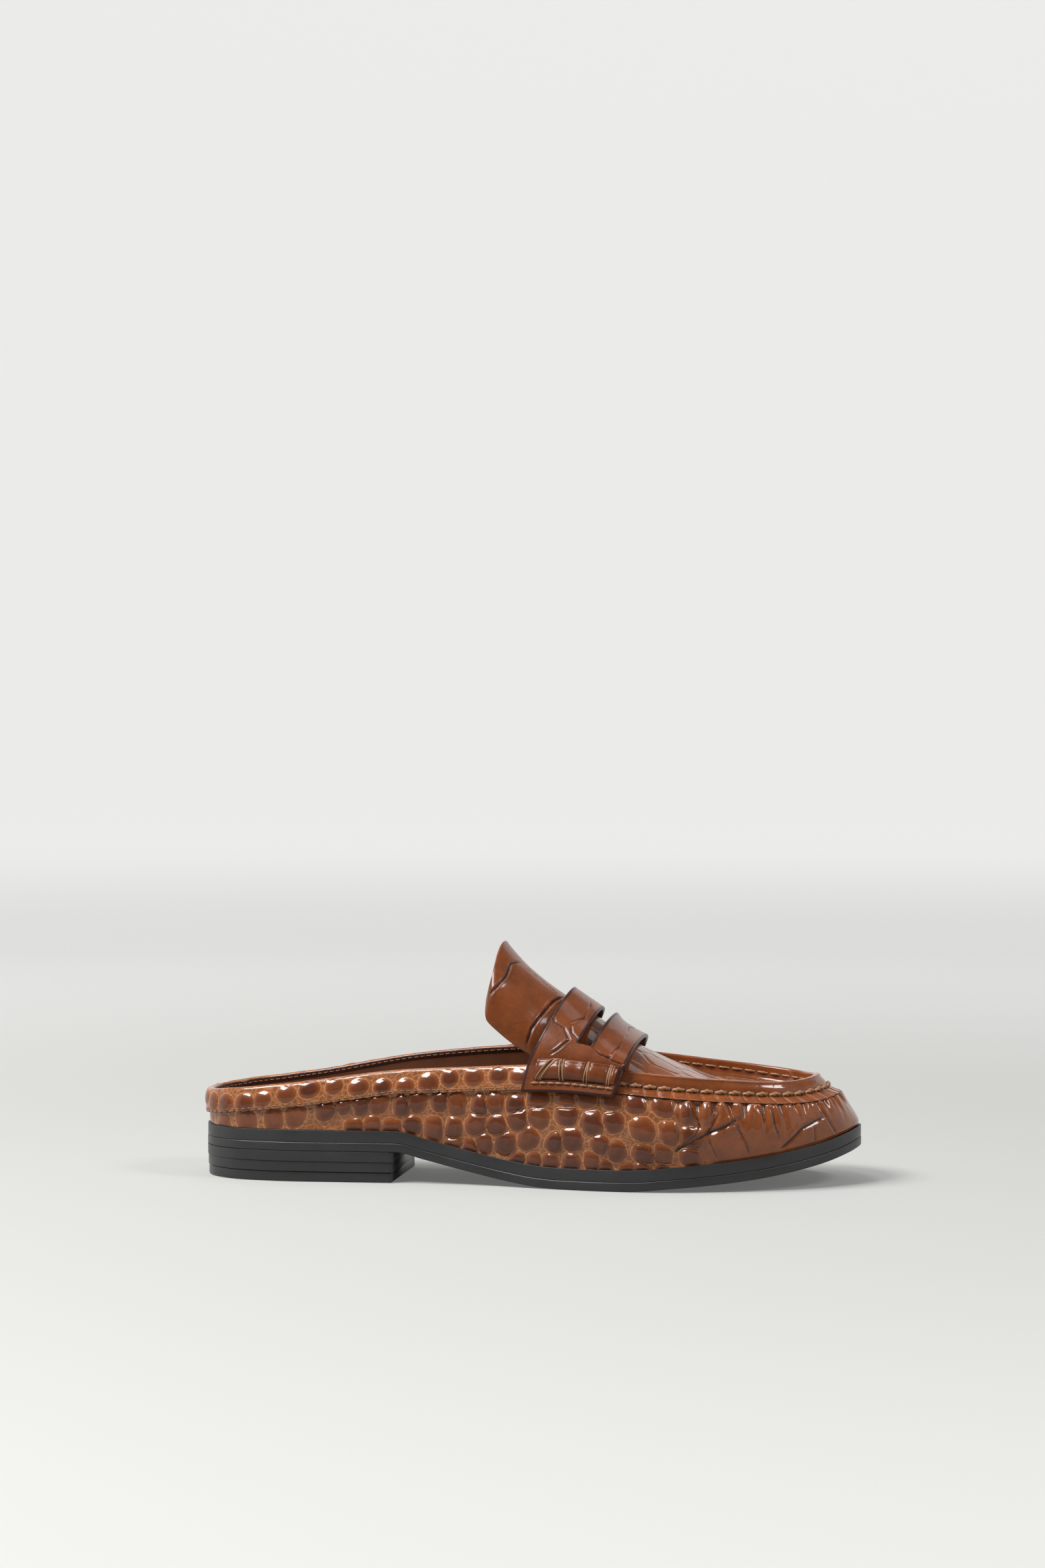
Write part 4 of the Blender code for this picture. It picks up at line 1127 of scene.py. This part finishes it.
while run < band_run[-1]:
    band_places.append((run, 4.9 + 1.5 * math.sin(run / 11.0) + chance.uniform(-0.7, 0.7), chance.uniform(3.5, 4.6),
                        chance.uniform(2.9, 3.7), chance.uniform(0.4, 1.0)))
    run += chance.uniform(7.4, 10.6)
band_places = np.array(band_places)
apart = band_run[:, None, None] - band_places[None, None, :, 0]
oval = np.sqrt((apart / band_places[None, None, :, 2]) ** 2
               + ((band_height_at[None, :, None] - band_places[None, None, :, 1]) / band_places[None, None, :, 3]) ** 2)
nearest = oval.argmin(-1)
oval = np.take_along_axis(oval, nearest[..., None], -1)[..., 0]
own = band_places[nearest]
band_up = np.clip(1.22 - oval, 0, 1) * outside
gap = np.abs(np.diff(band_places[:, 0]) / 2 + band_places[:-1, 0] - band_run[:, None]).min(1)[:, None]
crack = np.exp(-(gap / 0.5) ** 2) * step01(8.6, 7.2, band_height_at)[None] * outside
pucker_at = np.arange(2.0, band_run[-1], 3.4)
pucker_at = pucker_at + chance.uniform(-0.6, 0.6, len(pucker_at))
pucker = np.exp(-(np.abs(band_run[:, None] - pucker_at[None]).min(1) / 0.45) ** 2)[:, None]
pucker = pucker * step01(2.6, 0.4, band_height_at)[None] * outside
band_dome = 1 - (1 - np.clip((band_up - 0.12) / 0.88, 0, 1)) ** 2
band_relief = (band_dome * 0.75 - crack * 0.22 - pucker * 0.45) * MM
ripple = swing(band_run + 1, 5.0, 9)[:, None] * 0.12 * MM
band_skin = band_grid + normals_of(band_grid) * (band_relief + ripple * outside)[..., None]
chart = chart_of(band_up.shape, np.clip(band_up - 0.1 * np.maximum(crack, pucker * 0.8), 0, 1), own[..., 4])
inner_side = (np.arange(len(band_section)) > 27)[None]
chart[..., 2] = np.where(inner_side, 0.75, 0.0) + (np.arange(len(band_section)) < 3)[None] * 0.8
# Painted shade: the dents of the puckers get dark paint.
chart[..., 2] = np.maximum(chart[..., 2], 0.55 * pucker)
make_piece("collar_band_leather", band_skin.reshape(-1, 3), quads_of(*band_up.shape), scale_leather,
           "collar_band", chart.reshape(-1, 3))

# %% [markdown]
# ## Moccasin seam
# The wall and the plug meet in a raised seam. Their edges stand up together and are sewn through by hand,
# and the wall's edge is gathered below it, which makes the pleats. One section holds it all: the flange
# that lies on the wall, the standing edge, its round top and its inner face down to the plug.

# %% Standing seam and its flange
seam_u = np.linspace(throat_at - 0.28, row_count - throat_at + 0.28, 640)


def seam_section(u):
    """Points of the seam's section at u, from the flange's lower edge over the top to the plug."""
    drop, stand, reach = (v[:, None] for v in seam_sizes(u))
    top, outward = seam_points(u)
    share = 1.0 - drop[:, 0] / wall_rise(u)
    small = 0.01
    here = wall(u, share[:, None])[:, 0]
    along = wall(u + small, share[:, None])[:, 0] - wall(u - small, share[:, None])[:, 0]
    face = unit(np.cross(along, wall(u, share[:, None] + small)[:, 0] - wall(u, share[:, None] - small)[:, 0]))
    joint = top + outward * reach - up * stand
    points = [
        here + face * 0.1 * MM,
        here + face * flange_proud * 0.7 - up * 0.12 * MM,
        here + face * flange_proud + up * 0.35 * MM,
        here * 0.55 + joint * 0.45 + (face * 0.55 + outward * 0.45) * flange_proud * 0.75,
        joint + outward * 0.1 * MM,
        joint * 0.82 + top * 0.18 - outward * 0.28 * MM,
        joint * 0.5 + top * 0.5 - outward * 0.12 * MM,
        top - up * 1.0 * MM + outward * 0.1 * MM,
        top - up * 0.28 * MM,
        top - outward * ridge_width * 0.22 + up * 0.02 * MM,
        top - outward * ridge_width * 0.6 + up * 0.02 * MM,
        top - outward * (ridge_width - 0.3 * MM) - up * 0.25 * MM,
        top - outward * ridge_width - up * 0.9 * MM,
        top - outward * (ridge_width + 0.2 * MM) - up * ridge_depth * 0.55,
        top - outward * (ridge_width + ridge_soften) - up * (ridge_depth - 0.1 * MM),
        top - outward * (ridge_width + ridge_soften + 0.8 * MM) - up * (ridge_depth + 0.5 * MM),
    ]
    return np.stack(points, 1)


def refine(section, count):
    """Even points on a smooth curve through each section's own points."""
    knots = section.shape[1]
    at = np.linspace(0, knots - 1, count)
    k = np.minimum(at.astype(int), knots - 2)
    t = (at - k)[None, :, None]
    before, after = np.maximum(k - 1, 0), np.minimum(k + 2, knots - 1)
    a, b = section[:, k], section[:, k + 1]
    slope_a, slope_b = (b - section[:, before]) * 0.42, (section[:, after] - a) * 0.42
    return hermite(a, b, slope_a, slope_b, 1.0, t)


seam_knots = 16
seam_levels = 61
seam_grid = refine(seam_section(seam_u), seam_levels)
knot_at = np.linspace(0, seam_knots - 1, seam_levels)
seam_run = np.concatenate([[0], np.cumsum(np.linalg.norm(np.diff(seam_grid[:, 16], axis=0), axis=1))]) / MM
stitch_pitch = 5.6
stitch_count = int(seam_run[-1] / stitch_pitch)
stitch_pitch = seam_run[-1] / stitch_count
phase = (seam_run / stitch_pitch) % 1.0
pinch = np.exp(-(np.minimum(phase, 1 - phase) / 0.13) ** 2)[:, None]
on_flange = (step01(0.5, 1.6, knot_at) * step01(4.6, 3.4, knot_at))[None]
on_joint = np.exp(-((knot_at - 4.3) / 0.6) ** 2)[None]
on_inside = np.exp(-((knot_at - 13.2) / 0.9) ** 2)[None]
on_stand = (step01(5.0, 6.0, knot_at) * step01(11.5, 10.5, knot_at))[None]
slant = np.sin((seam_run[:, None] * 0.8 - knot_at[None] * 0.9)) * 0.5 + 0.5
uneven = swing(seam_run + 1, 3.0, 21)[:, None]
seam_relief = (-0.34 * pinch * on_flange - 0.42 * on_joint * (0.4 + 0.6 * pinch) - 0.25 * on_inside
               + 0.20 * uneven * on_flange + 0.10 * swing(seam_run + 1, 9.0, 22)[:, None] * on_stand) * MM
scratch = np.exp(-(((seam_run[:, None] - knot_at[None] * 0.55) % 7.3) / 0.35) ** 2) * on_stand
seam_relief = seam_relief - 0.07 * MM * scratch
seam_skin = seam_grid + normals_of(seam_grid) * seam_relief[..., None]
chart = chart_of(seam_relief.shape, 0.8)
chart[..., 0] -= 0.45 * pinch * on_flange + 0.55 * on_joint + 0.3 * scratch
chart[..., 1] = 0.10 + 0.2 * step01(0.0, 0.6, uneven) * on_flange
# Edge paint on the flange's lower edge; painted shade in the joint groove, darkest where stitches pinch it.
chart[..., 2] = (0.95 * (knot_at < 1.9))[None] + 0.8 * on_joint * (0.6 + 0.4 * pinch)
make_piece("moccasin_seam", seam_skin.reshape(-1, 3), quads_of(*seam_relief.shape), scale_leather,
           "upper", np.clip(chart, 0, 1).reshape(-1, 3))

# %% [markdown]
# ## Plug
# The plug is the top of the vamp, sunk inside the seam. Its plates are long and smooth, with shallow
# creases. It is an arch between the two seams, made fine enough for a few plates to be pressed in.

# %% Plug
plug_rows, plug_columns = 190, 150
plug = plug_grid(throat_at - 0.25, plug_rows, plug_columns)
plug_along = (plug[..., 0] - length * 0.53) / MM
plug_across = (plug[..., 1]) / MM
plug_chart = np.stack([plug_along, plug_across], -1)
plug_places = []
row_at = -6.0
for number in range(9):
    for lane in range(-4, 5):
        offset = (0.5 if number % 2 else 0.0)
        plug_places.append((row_at + chance.uniform(-2, 2), (lane + offset) * 11.5 + chance.uniform(-1.6, 1.6)))
    row_at += 13.5
plug_places = np.array(plug_places)
plug_sizes = np.stack([chance.uniform(8.5, 10.5, len(plug_places)), chance.uniform(7.0, 8.5, len(plug_places)),
                       chance.uniform(-0.3, 0.3, len(plug_places))], -1)
plug_up, plug_dark = scale_relief(plug_chart + swing(plug_chart[..., 0] + 60, 5.0, 31)[..., None] * 0.8, plug_places,
                                  plug_sizes, chance.uniform(0.0, 0.22, len(plug_places)))
plug_up = step01(0.0, 0.16, plug_up)
plug_relief = (plug_up - 1.0) * 0.24 * MM
plug_skin = plug + normals_of(plug) * plug_relief[..., None]
chart = chart_of(plug_up.shape, 0.35 + 0.65 * plug_up, plug_dark)
make_piece("plug", plug_skin.reshape(-1, 3), quads_of(plug_rows, plug_columns), scale_leather,
           "upper", chart.reshape(-1, 3), merge=True)

# %% [markdown]
# ## Tongue
# The tongue stands free above the instep. It is one thick sheet with a rounded edge, left unpainted. Its rows
# are read from the same table as the solid's, with a smooth curve through them, and the creases of its long
# plates are drawn.

# %% Tongue
tongue_columns = 150
columns = np.linspace(-1, 1, tongue_columns)
throat_row = plug_grid(throat_at, 2, tongue_columns)[0] - np.array([seat_gap, 0.0, 0.0])
rows = [throat_row]
for crown_at, lat_along, lat_out, lat_above, med_along, med_out, med_above in tongue_rows:
    sides = []
    for side, along, out, above in ((-1, lat_along, lat_out, lat_above), (1, med_along, med_out, med_above)):
        rim = wall(ring_at(side, along * length), np.ones(1))[0, 0, 2]
        sides.append(np.array([along * length, out * ball_width, rim + above * instep_rise]))
    crown = np.array([crown_at * length, (sides[0][1] + sides[1][1]) / 2, crown_height(crown_at * length)])
    rows.append(arch(sides[0], crown, sides[1], columns)[0])
tongue_knots = np.stack(rows[::-1], 1)
tongue = np.swapaxes(refine(tongue_knots, 110), 0, 1)
tongue_normal = normals_of(tongue)


def on_grid(grid, row_share, column_share):
    """Point of a grid at shares of its rows and columns."""
    r, c = row_share * (grid.shape[0] - 1), column_share * (grid.shape[1] - 1)
    r0, c0 = min(int(r), grid.shape[0] - 2), min(int(c), grid.shape[1] - 2)
    fr, fc = r - r0, c - c0
    return ((grid[r0, c0] * (1 - fc) + grid[r0, c0 + 1] * fc) * (1 - fr)
            + (grid[r0 + 1, c0] * (1 - fc) + grid[r0 + 1, c0 + 1] * fc) * fr)


# Creases: width, depth in mm, then (share down from the free end, share across from the outer side)
tongue_creases = (
    (0.50, 0.55, ((0.12, 0.05), (0.174, 0.121), (0.248, 0.181), (0.294, 0.255), (0.294, 0.309), (0.284, 0.356),
                  (0.321, 0.409), (0.367, 0.463))),
    (0.55, 0.60, ((0.730, 0.0), (0.706, 0.034), (0.697, 0.121), (0.716, 0.181), (0.734, 0.235), (0.761, 0.342),
                  (0.80, 0.43), (0.826, 0.47))),
    (0.30, 0.22, ((0.30, 0.30), (0.33, 0.315), (0.52, 0.32), (0.72, 0.31))),
    (0.30, 0.20, ((0.36, 0.455), (0.569, 0.475), (0.80, 0.43))),
    (0.30, 0.16, ((0.48, 0.04), (0.56, 0.10), (0.66, 0.14))),
    (0.50, 0.50, ((0.36, 0.54), (0.30, 0.62), (0.29, 0.72), (0.24, 0.82), (0.14, 0.94))),
    (0.55, 0.50, ((0.82, 0.54), (0.76, 0.64), (0.72, 0.78), (0.70, 0.92), (0.72, 1.0))),
    (0.30, 0.20, ((0.32, 0.68), (0.52, 0.68), (0.72, 0.68))),
)
tongue_relief = np.zeros(tongue.shape[:2])
for width, depth, path in tongue_creases:
    line = [on_grid(tongue, r, c) for r, c in path]
    tongue_relief += trough(tongue, line, width * MM, depth * MM, lip=0.3)
tongue_up = 1 - 0.8 * step01(0.06 * MM, 0.32 * MM, -tongue_relief)
# Painted shade: the crease troughs get dark paint.
painted_tongue_crease_shade = 0.85 * step01(0.10 * MM, 0.30 * MM, -tongue_relief)
tongue_skin = tongue + tongue_normal * tongue_relief[..., None]
tongue_back = tongue - tongue_normal * tongue_thick * 0.8
points, faces, chart = sheet_of(tongue_skin, tongue_back, chart_of(tongue_up.shape, tongue_up, 0.1, painted_tongue_crease_shade), paint=0.0)
make_piece("tongue_leather", points, faces, smooth_leather, "tongue", chart)

# %% [markdown]
# ## Saddle
# The penny strap is one sheet that crosses the instep and ends in two patches on the sides. A slot splits
# it at the top. Both long edges and the slot are painted dark, and the front band curls up a little at the
# slot, because nothing holds it down there.

# %% Grid of the saddle
patch_stand = 2 * seat_gap + band_thick


def saddle_side(side, across, up_share):
    """Points of a side patch, a row for each across, a column for each share of its height."""
    across = np.asarray(across, float)[:, None]
    up_share = np.asarray(up_share, float)[None]
    foot = saddle_foot[0] + (saddle_foot[1] - saddle_foot[0]) * across
    leave = saddle_leave[0] + (saddle_leave[1] - saddle_leave[0]) * across
    x = ((foot + (leave - foot) * up_share) * length)
    u = ring_at(side, x.ravel())
    t = 1.0 + ((saddle_foot_rise + saddle_drop) * up_share - saddle_drop) / wall_rise(u).reshape(x.shape)
    t = t.ravel()[:, None]
    point = wall(u, np.minimum(t, 1.0), patch_stand + flange_proud)[:, 0]
    point[:, 2] = wall(u, t)[:, 0, 2]
    return point.reshape(x.shape + (3,))


def saddle_sheet(across, patch, over):
    """Inner face of the saddle from the lateral patch's lower edge over the crown to the medial one's."""
    across = np.asarray(across, float)
    lateral, medial = (saddle_side(side, across, [1.0])[:, 0] for side in (-1, 1))
    crown_x = (saddle_crown[0] + (saddle_crown[1] - saddle_crown[0]) * across) * length
    lift = saddle_lift_rear + (saddle_lift_front - saddle_lift_rear) * across
    crown = np.stack([crown_x, (lateral[:, 1] + medial[:, 1]) / 2, crown_height(crown_x) + lift - saddle_thick], 1)
    over = np.asarray(over)
    middle = arch(lateral, crown, medial, np.concatenate([over - 1, 1 - over[-2::-1]]))
    return np.concatenate([saddle_side(-1, across, patch), middle[:, 1:-1],
                           saddle_side(1, across, patch[::-1])], 1)


patch = np.linspace(0, 1, 30)
over = np.concatenate([np.linspace(0, slot_end, 34), np.linspace(slot_end, 1.0, 70)[1:]])
across = np.concatenate([np.linspace(0, slot_rear, 48), np.linspace(slot_rear, slot_front, 12)[1:],
                         np.linspace(slot_front, 1, 50)[1:]])
saddle = saddle_sheet(across, patch, over)
saddle_normal = normals_of(saddle)
first = len(patch) + 32
last = saddle.shape[1] - 1 - first
slot_rows = (across[:-1] > slot_rear - 1e-6) & (across[1:] < slot_front + 1e-6)
keep = np.ones((saddle.shape[0] - 1, saddle.shape[1] - 1), bool)
keep[np.ix_(slot_rows, np.arange(saddle.shape[1] - 1)[first:last])] = False
print("saddle grid", saddle.shape[:2], "slot faces", int((~keep).sum()))

# %% Relief of the saddle
column_at = np.linspace(-1, 1, saddle.shape[1])[None]
saddle_creases = (
    (0.42, 0.45, ((0.0, 0.305), (0.059, 0.287), (0.195, 0.276), (0.312, 0.241), (0.254, 0.19), (0.17, 0.14))),
    (0.42, 0.42, ((0.27, 0.47), (0.293, 0.443), (0.332, 0.351), (0.20, 0.295))),
    (0.42, 0.42, ((0.234, 0.300), (0.30, 0.27), (0.48, 0.232))),
    (0.42, 0.42, ((0.56, 0.245), (0.70, 0.200), (0.815, 0.19), (0.852, 0.287), (0.852, 0.414))),
    (0.42, 0.40, ((0.76, 0.195), (0.86, 0.17), (1.0, 0.15))),
    (0.42, 0.36, ((0.852, 0.414), (0.80, 0.50), (0.86, 0.60), (0.84, 0.70))),
    (0.42, 0.36, ((0.05, 0.62), (0.20, 0.66), (0.30, 0.74), (0.22, 0.84))),
    (0.42, 0.36, ((0.27, 0.53), (0.34, 0.62), (0.20, 0.70))),
    (0.42, 0.36, ((0.60, 0.72), (0.78, 0.76), (0.99, 0.80))),
)
width_at = across
outer_face = saddle + saddle_normal * saddle_thick
saddle_relief = np.zeros(saddle.shape[:2])
for width, depth, path in saddle_creases:
    line = []
    for share, column_share in path:
        row = np.interp(share, width_at, np.arange(len(width_at))) / (len(width_at) - 1)
        line.append(on_grid(outer_face, row, column_share))
    saddle_relief += trough(outer_face, line, width * MM, depth * MM, lip=0.25)
crowned = step01(0.62, 0.12, np.abs(column_at))
curl = (np.exp(-((across[:, None] - slot_front) / 0.07) ** 2) * (across[:, None] >= slot_front - 0.09) * 1.1
        + np.exp(-((across[:, None] - 1.0) / 0.08) ** 2) * 0.35) * crowned * MM
saddle_up = 1 - 0.75 * step01(0.06 * MM, 0.30 * MM, -saddle_relief)
saddle_outer = outer_face + saddle_normal * (saddle_relief + curl)[..., None]
saddle_inner = saddle + saddle_normal * (curl + 0.25 * MM)[..., None]
# Painted shade: the crease troughs get dark paint. The edges and the slot get edge paint below.
chart = chart_of(saddle_up.shape, saddle_up, 0.16, 0.85 * step01(0.10 * MM, 0.28 * MM, -saddle_relief))
edge_near = step01(0.034, 0.016, np.minimum(across, 1 - across))[:, None]
slot_near = np.minimum(np.abs(across - slot_rear), np.abs(across - slot_front))[:, None]
slot_near = step01(0.034, 0.016, slot_near) * (np.abs(np.arange(saddle.shape[1]) - (first + last) / 2) <= (last - first) / 2)
patch_near = (np.minimum(np.arange(saddle.shape[1]), np.arange(saddle.shape[1])[::-1]) < 2)[None] * 1.0
chart[..., 2] = np.maximum(chart[..., 2], np.maximum(np.maximum(edge_near, slot_near), patch_near) * 0.8)
points, faces, chart = sheet_of(saddle_outer, saddle_inner, chart, keep=keep)
make_piece("saddle_leather", points, faces, smooth_leather, "saddle", chart)

# %% [markdown]
# ## Rolls at the saddle's ends
# Where the strap is sewn down, its end is gathered over a cord and bound with thread, which gives a fat
# roll with nipped waists. The roll is a swell on the saddle's own face that sinks at each binding.

# %% Rolls
roll_rear, roll_front = 0.10, 0.97
binding_shares = (0.14, 0.33, 0.64, 0.915)
binding_leans = (0.16, -0.08, -0.035, -0.03)
roll_low = 0.36
roll_over = 0.035


def nips(along, around):
    """How much the bindings nip the roll. The first one leans the most."""
    return sum(np.exp(-((along - b - lean * (around - 0.5)) / 0.028) ** 2)
               for b, lean in zip(binding_shares, binding_leans))


def roll_surface(side, across, around, lift=0.0):
    """Outer face of a roll. Across runs over the saddle's width, around from the roll's foot to its top."""
    across, around = np.asarray(across, float), np.asarray(around, float)
    patch_part = np.linspace(roll_low, 1, 24)
    over_part = np.linspace(0, roll_over, 5)
    sheet = saddle_sheet(across, patch_part, over_part)
    count = len(patch_part) + len(over_part) - 1
    strip = sheet[:, :count] if side < 0 else sheet[:, ::-1][:, :count]
    run = np.concatenate([[0], np.cumsum(np.linalg.norm(np.diff(strip[0], axis=0), axis=1))])
    at = np.interp(around, run / run[-1], np.arange(count))
    k = np.minimum(at.astype(int), count - 2)
    face = strip[:, k] + (strip[:, k + 1] - strip[:, k]) * (at - k)[None, :, None]
    share = (across - roll_rear) / (roll_front - roll_rear)
    out = roll_outward(side, 0.5)
    along = np.clip(share, 0.0, 1.0)[:, None]
    end = np.clip(np.sin(np.pi * np.clip(along, 0.01, 0.99)), 0, 1) ** 0.22
    swell = np.clip(np.sin(np.pi * around), 0, 1)[None] ** 0.5
    nip = nips(along, around)
    puff = 1 + 0.04 * np.sin(along * 19.0 + 1.0) + 0.015 * np.sin(along * 43.0 + around * 3.0)
    bulge = 1.15 * roll_bulge * end * swell * (1 - 0.5 * nip) * puff + saddle_thick + lift
    return face + out * bulge[..., None]


def roll_outward(side, across):
    """Direction square to the side patch at its middle."""
    sheet = saddle_side(side, [across - 0.02, across + 0.02], [0.45, 0.75])
    return unit(np.cross(sheet[1, 0] - sheet[0, 0], sheet[0, 1] - sheet[0, 0])) * (1 if side < 0 else -1)


for name, side in (("saddle_roll_lateral", -1), ("saddle_roll_medial", 1)):
    roll_rows, roll_columns = 150, 40
    share = np.linspace(roll_rear, roll_front, roll_rows)
    around = np.linspace(0, 1, roll_columns)
    skin = roll_surface(side, share, around)
    along_roll = np.linspace(0, 1, roll_rows)[:, None]
    nip = nips(along_roll, around)
    # Painted shade: the creases at the roll's foot and top, and the nips under the bindings, get dark paint.
    fold = np.maximum(step01(0.10, 0.0, around), step01(0.90, 1.0, around))[None] * 0.75
    chart = chart_of(skin.shape[:2], np.clip(0.95 - 0.3 * nip, 0, 1) * np.ones(skin.shape[:2]), 0.35,
                     np.maximum(fold, 0.66 * nip))
    quads = quads_of(roll_rows, roll_columns)
    make_piece(name + "_leather", skin.reshape(-1, 3), quads if side < 0 else quads[:, ::-1], smooth_leather,
               name, chart.reshape(-1, 3))

# %% [markdown]
# ## Thread
# Every visible stitch is a short piece of waxed cord that dives into the leather at both ends. One stitch
# is a bent tube with a two-ply twist in its section. Each seam is then one mesh of many such stitches,
# placed along the line that the seam follows.

# %% A run of stitches
def between(values, at):
    """Rows of an array at fractional places."""
    k = np.minimum(at.astype(int), len(values) - 2)
    return values[k] + (values[k + 1] - values[k]) * (at - k)[:, None]


def stitches(name, runs, radius, sides=8, steps=9, twist=2.2, replaced=None):
    """Each run is (points along the stitch, direction out of the leather)."""
    n, turn = np.arange(steps)[:, None], 2 * np.pi * np.arange(sides)[None] / sides
    taper = 0.42 + 0.58 * np.sin(np.pi * np.clip(n / (steps - 1), 0.06, 0.94)) ** 0.5
    ply = 1 + 0.16 * np.cos(2 * (turn - twist * n))
    painted_ply_shade = np.zeros((steps, sides, 3))
    # Painted shade: darker in the grooves between the plies and on the side facing the leather, lighter outside.
    painted_ply_shade[..., 0] = np.clip(0.35 + 2.6 * (ply - 0.9) + 0.3 * np.sin(turn), 0, 1)
    around = quads_of(steps, sides + 1)
    around = (around // (sides + 1)) * sides + around % (sides + 1) % sides
    caps = [tuple(range(sides)), tuple((steps - 1) * sides + s for s in reversed(range(sides)))]
    points, faces = [], []
    for path, out in runs:
        share = np.linspace(0, len(path) - 1, steps)
        line = between(path, share)
        out = unit(between(np.broadcast_to(out, path.shape), share))
        side = unit(np.cross(unit(np.gradient(line, axis=0)), out))
        lift = np.cross(side, np.gradient(line, axis=0))
        lift = unit(lift)
        tube = (side[:, None] * np.cos(turn)[..., None] + lift[:, None] * np.sin(turn)[..., None]) * radius
        tube = line[:, None] + tube * (taper * ply)[..., None]
        start = len(points) * steps * sides
        faces += (around[:, ::-1] + start).tolist() + [tuple(v + start for v in cap) for cap in caps]
        points.append(tube.reshape(-1, 3))
    points = np.concatenate(points)
    painted_ply_shades = np.tile(painted_ply_shade.reshape(-1, 3), (len(runs), 1))
    return make_piece(name, points, faces, thread_finish, replaced, painted_ply_shades)


# %% Stitches of the moccasin seam
seam_normal = normals_of(seam_grid)
outer_level, inner_level = 17, 52
joint_line, joint_out = seam_skin[:, outer_level], seam_normal[:, outer_level]
inner_line, inner_out = seam_skin[:, inner_level], seam_normal[:, inner_level]
outer_runs, inner_runs = [], []
for number in range(stitch_count):
    start, end = (number + 0.11) * stitch_pitch, (number + 0.89) * stitch_pitch
    at = np.interp(np.linspace(start, end, 7), seam_run, np.arange(len(seam_run)))
    arc = np.sin(np.linspace(0, np.pi, 7))[:, None]
    out = between(joint_out, at)
    path = between(joint_line, at) + out * (arc * 0.45 + 0.22) * MM
    path[:, 2] += np.linspace(-0.22, 0.28, 7) * MM
    outer_runs.append((path, out))
    out = between(inner_out, at)
    path = between(inner_line, at) + out * (arc * 0.4 - 0.05) * MM
    inner_runs.append((path, out))
stitches("seam_stitches", outer_runs, 0.88 * MM)
stitches("seam_stitches_inner", inner_runs, 0.50 * MM)

# %% Stitches of the collar band, outside and inside
band_normal = normals_of(band_grid)
hem_runs, inner_hem_runs = [], []
hem_pitch = 2.6
for number in range(int(band_run[-1] / hem_pitch)):
    at = np.interp(np.array([number + 0.14, number + 0.5, number + 0.86]) * hem_pitch, band_run,
                   np.arange(len(band_run)))
    out = between(band_normal[:, 5], at)
    path = between(band_skin[:, 5], at) + out * np.array([[-0.06], [0.10], [-0.06]]) * MM
    hem_runs.append((path, out))
    out = between(band_normal[:, 30], at)
    path = between(band_skin[:, 30], at) + out * np.array([[-0.05], [0.12], [-0.05]]) * MM
    inner_hem_runs.append((path, out))
stitches("collar_stitches", hem_runs, 0.20 * MM, sides=6, steps=5)
stitches("collar_stitches_inner", inner_hem_runs, 0.20 * MM, sides=6, steps=5)

# %% Bindings round the rolls
binding_runs = []
for side in (-1, 1):
    out = roll_outward(side, 0.5)
    hoops = roll_surface(side, np.linspace(roll_rear, roll_front, 161), np.linspace(0, 1, 26))
    for number, share in enumerate(binding_shares):
        strands = (4, 3, 2, 2)[number]
        for strand in range(strands):
            lean = binding_leans[number] / 2 + 0.009 * math.sin(3.1 * strand + number)
            at = share + (strand - (strands - 1) / 2) * 0.023 + np.linspace(-lean, lean, 26)
            at = np.clip(at, 0.0, 1.0) * 160
            hoop = np.array([between(hoops[:, k], at[k:k + 1])[0] for k in range(26)])
            binding_runs.append((hoop + out * 0.22 * MM, out))
stitches("roll_bindings", binding_runs, 0.38 * MM, steps=26, twist=1.1)

# %% Stitches under the rolls
under_runs = []
for side in (-1, 1):
    base = saddle_sheet(np.linspace(0.08, 0.98, 60), np.array([roll_low - 0.12, roll_low]), np.array([0.0, 0.05, 0.1]))
    line = base[:, 0] if side < 0 else base[:, -1]
    out = roll_outward(side, 0.5)
    line = line + out * (saddle_thick + 0.15 * MM)
    count = 10
    for number in range(count):
        at = np.linspace((number + 0.08) / count, (number + 0.92) / count, 5) * (len(line) - 1)
        arc = np.sin(np.linspace(0, np.pi, 5))[:, None]
        under_runs.append((between(line, at) + out * arc * 0.3 * MM, out))
stitches("patch_stitches", under_runs, 0.50 * MM)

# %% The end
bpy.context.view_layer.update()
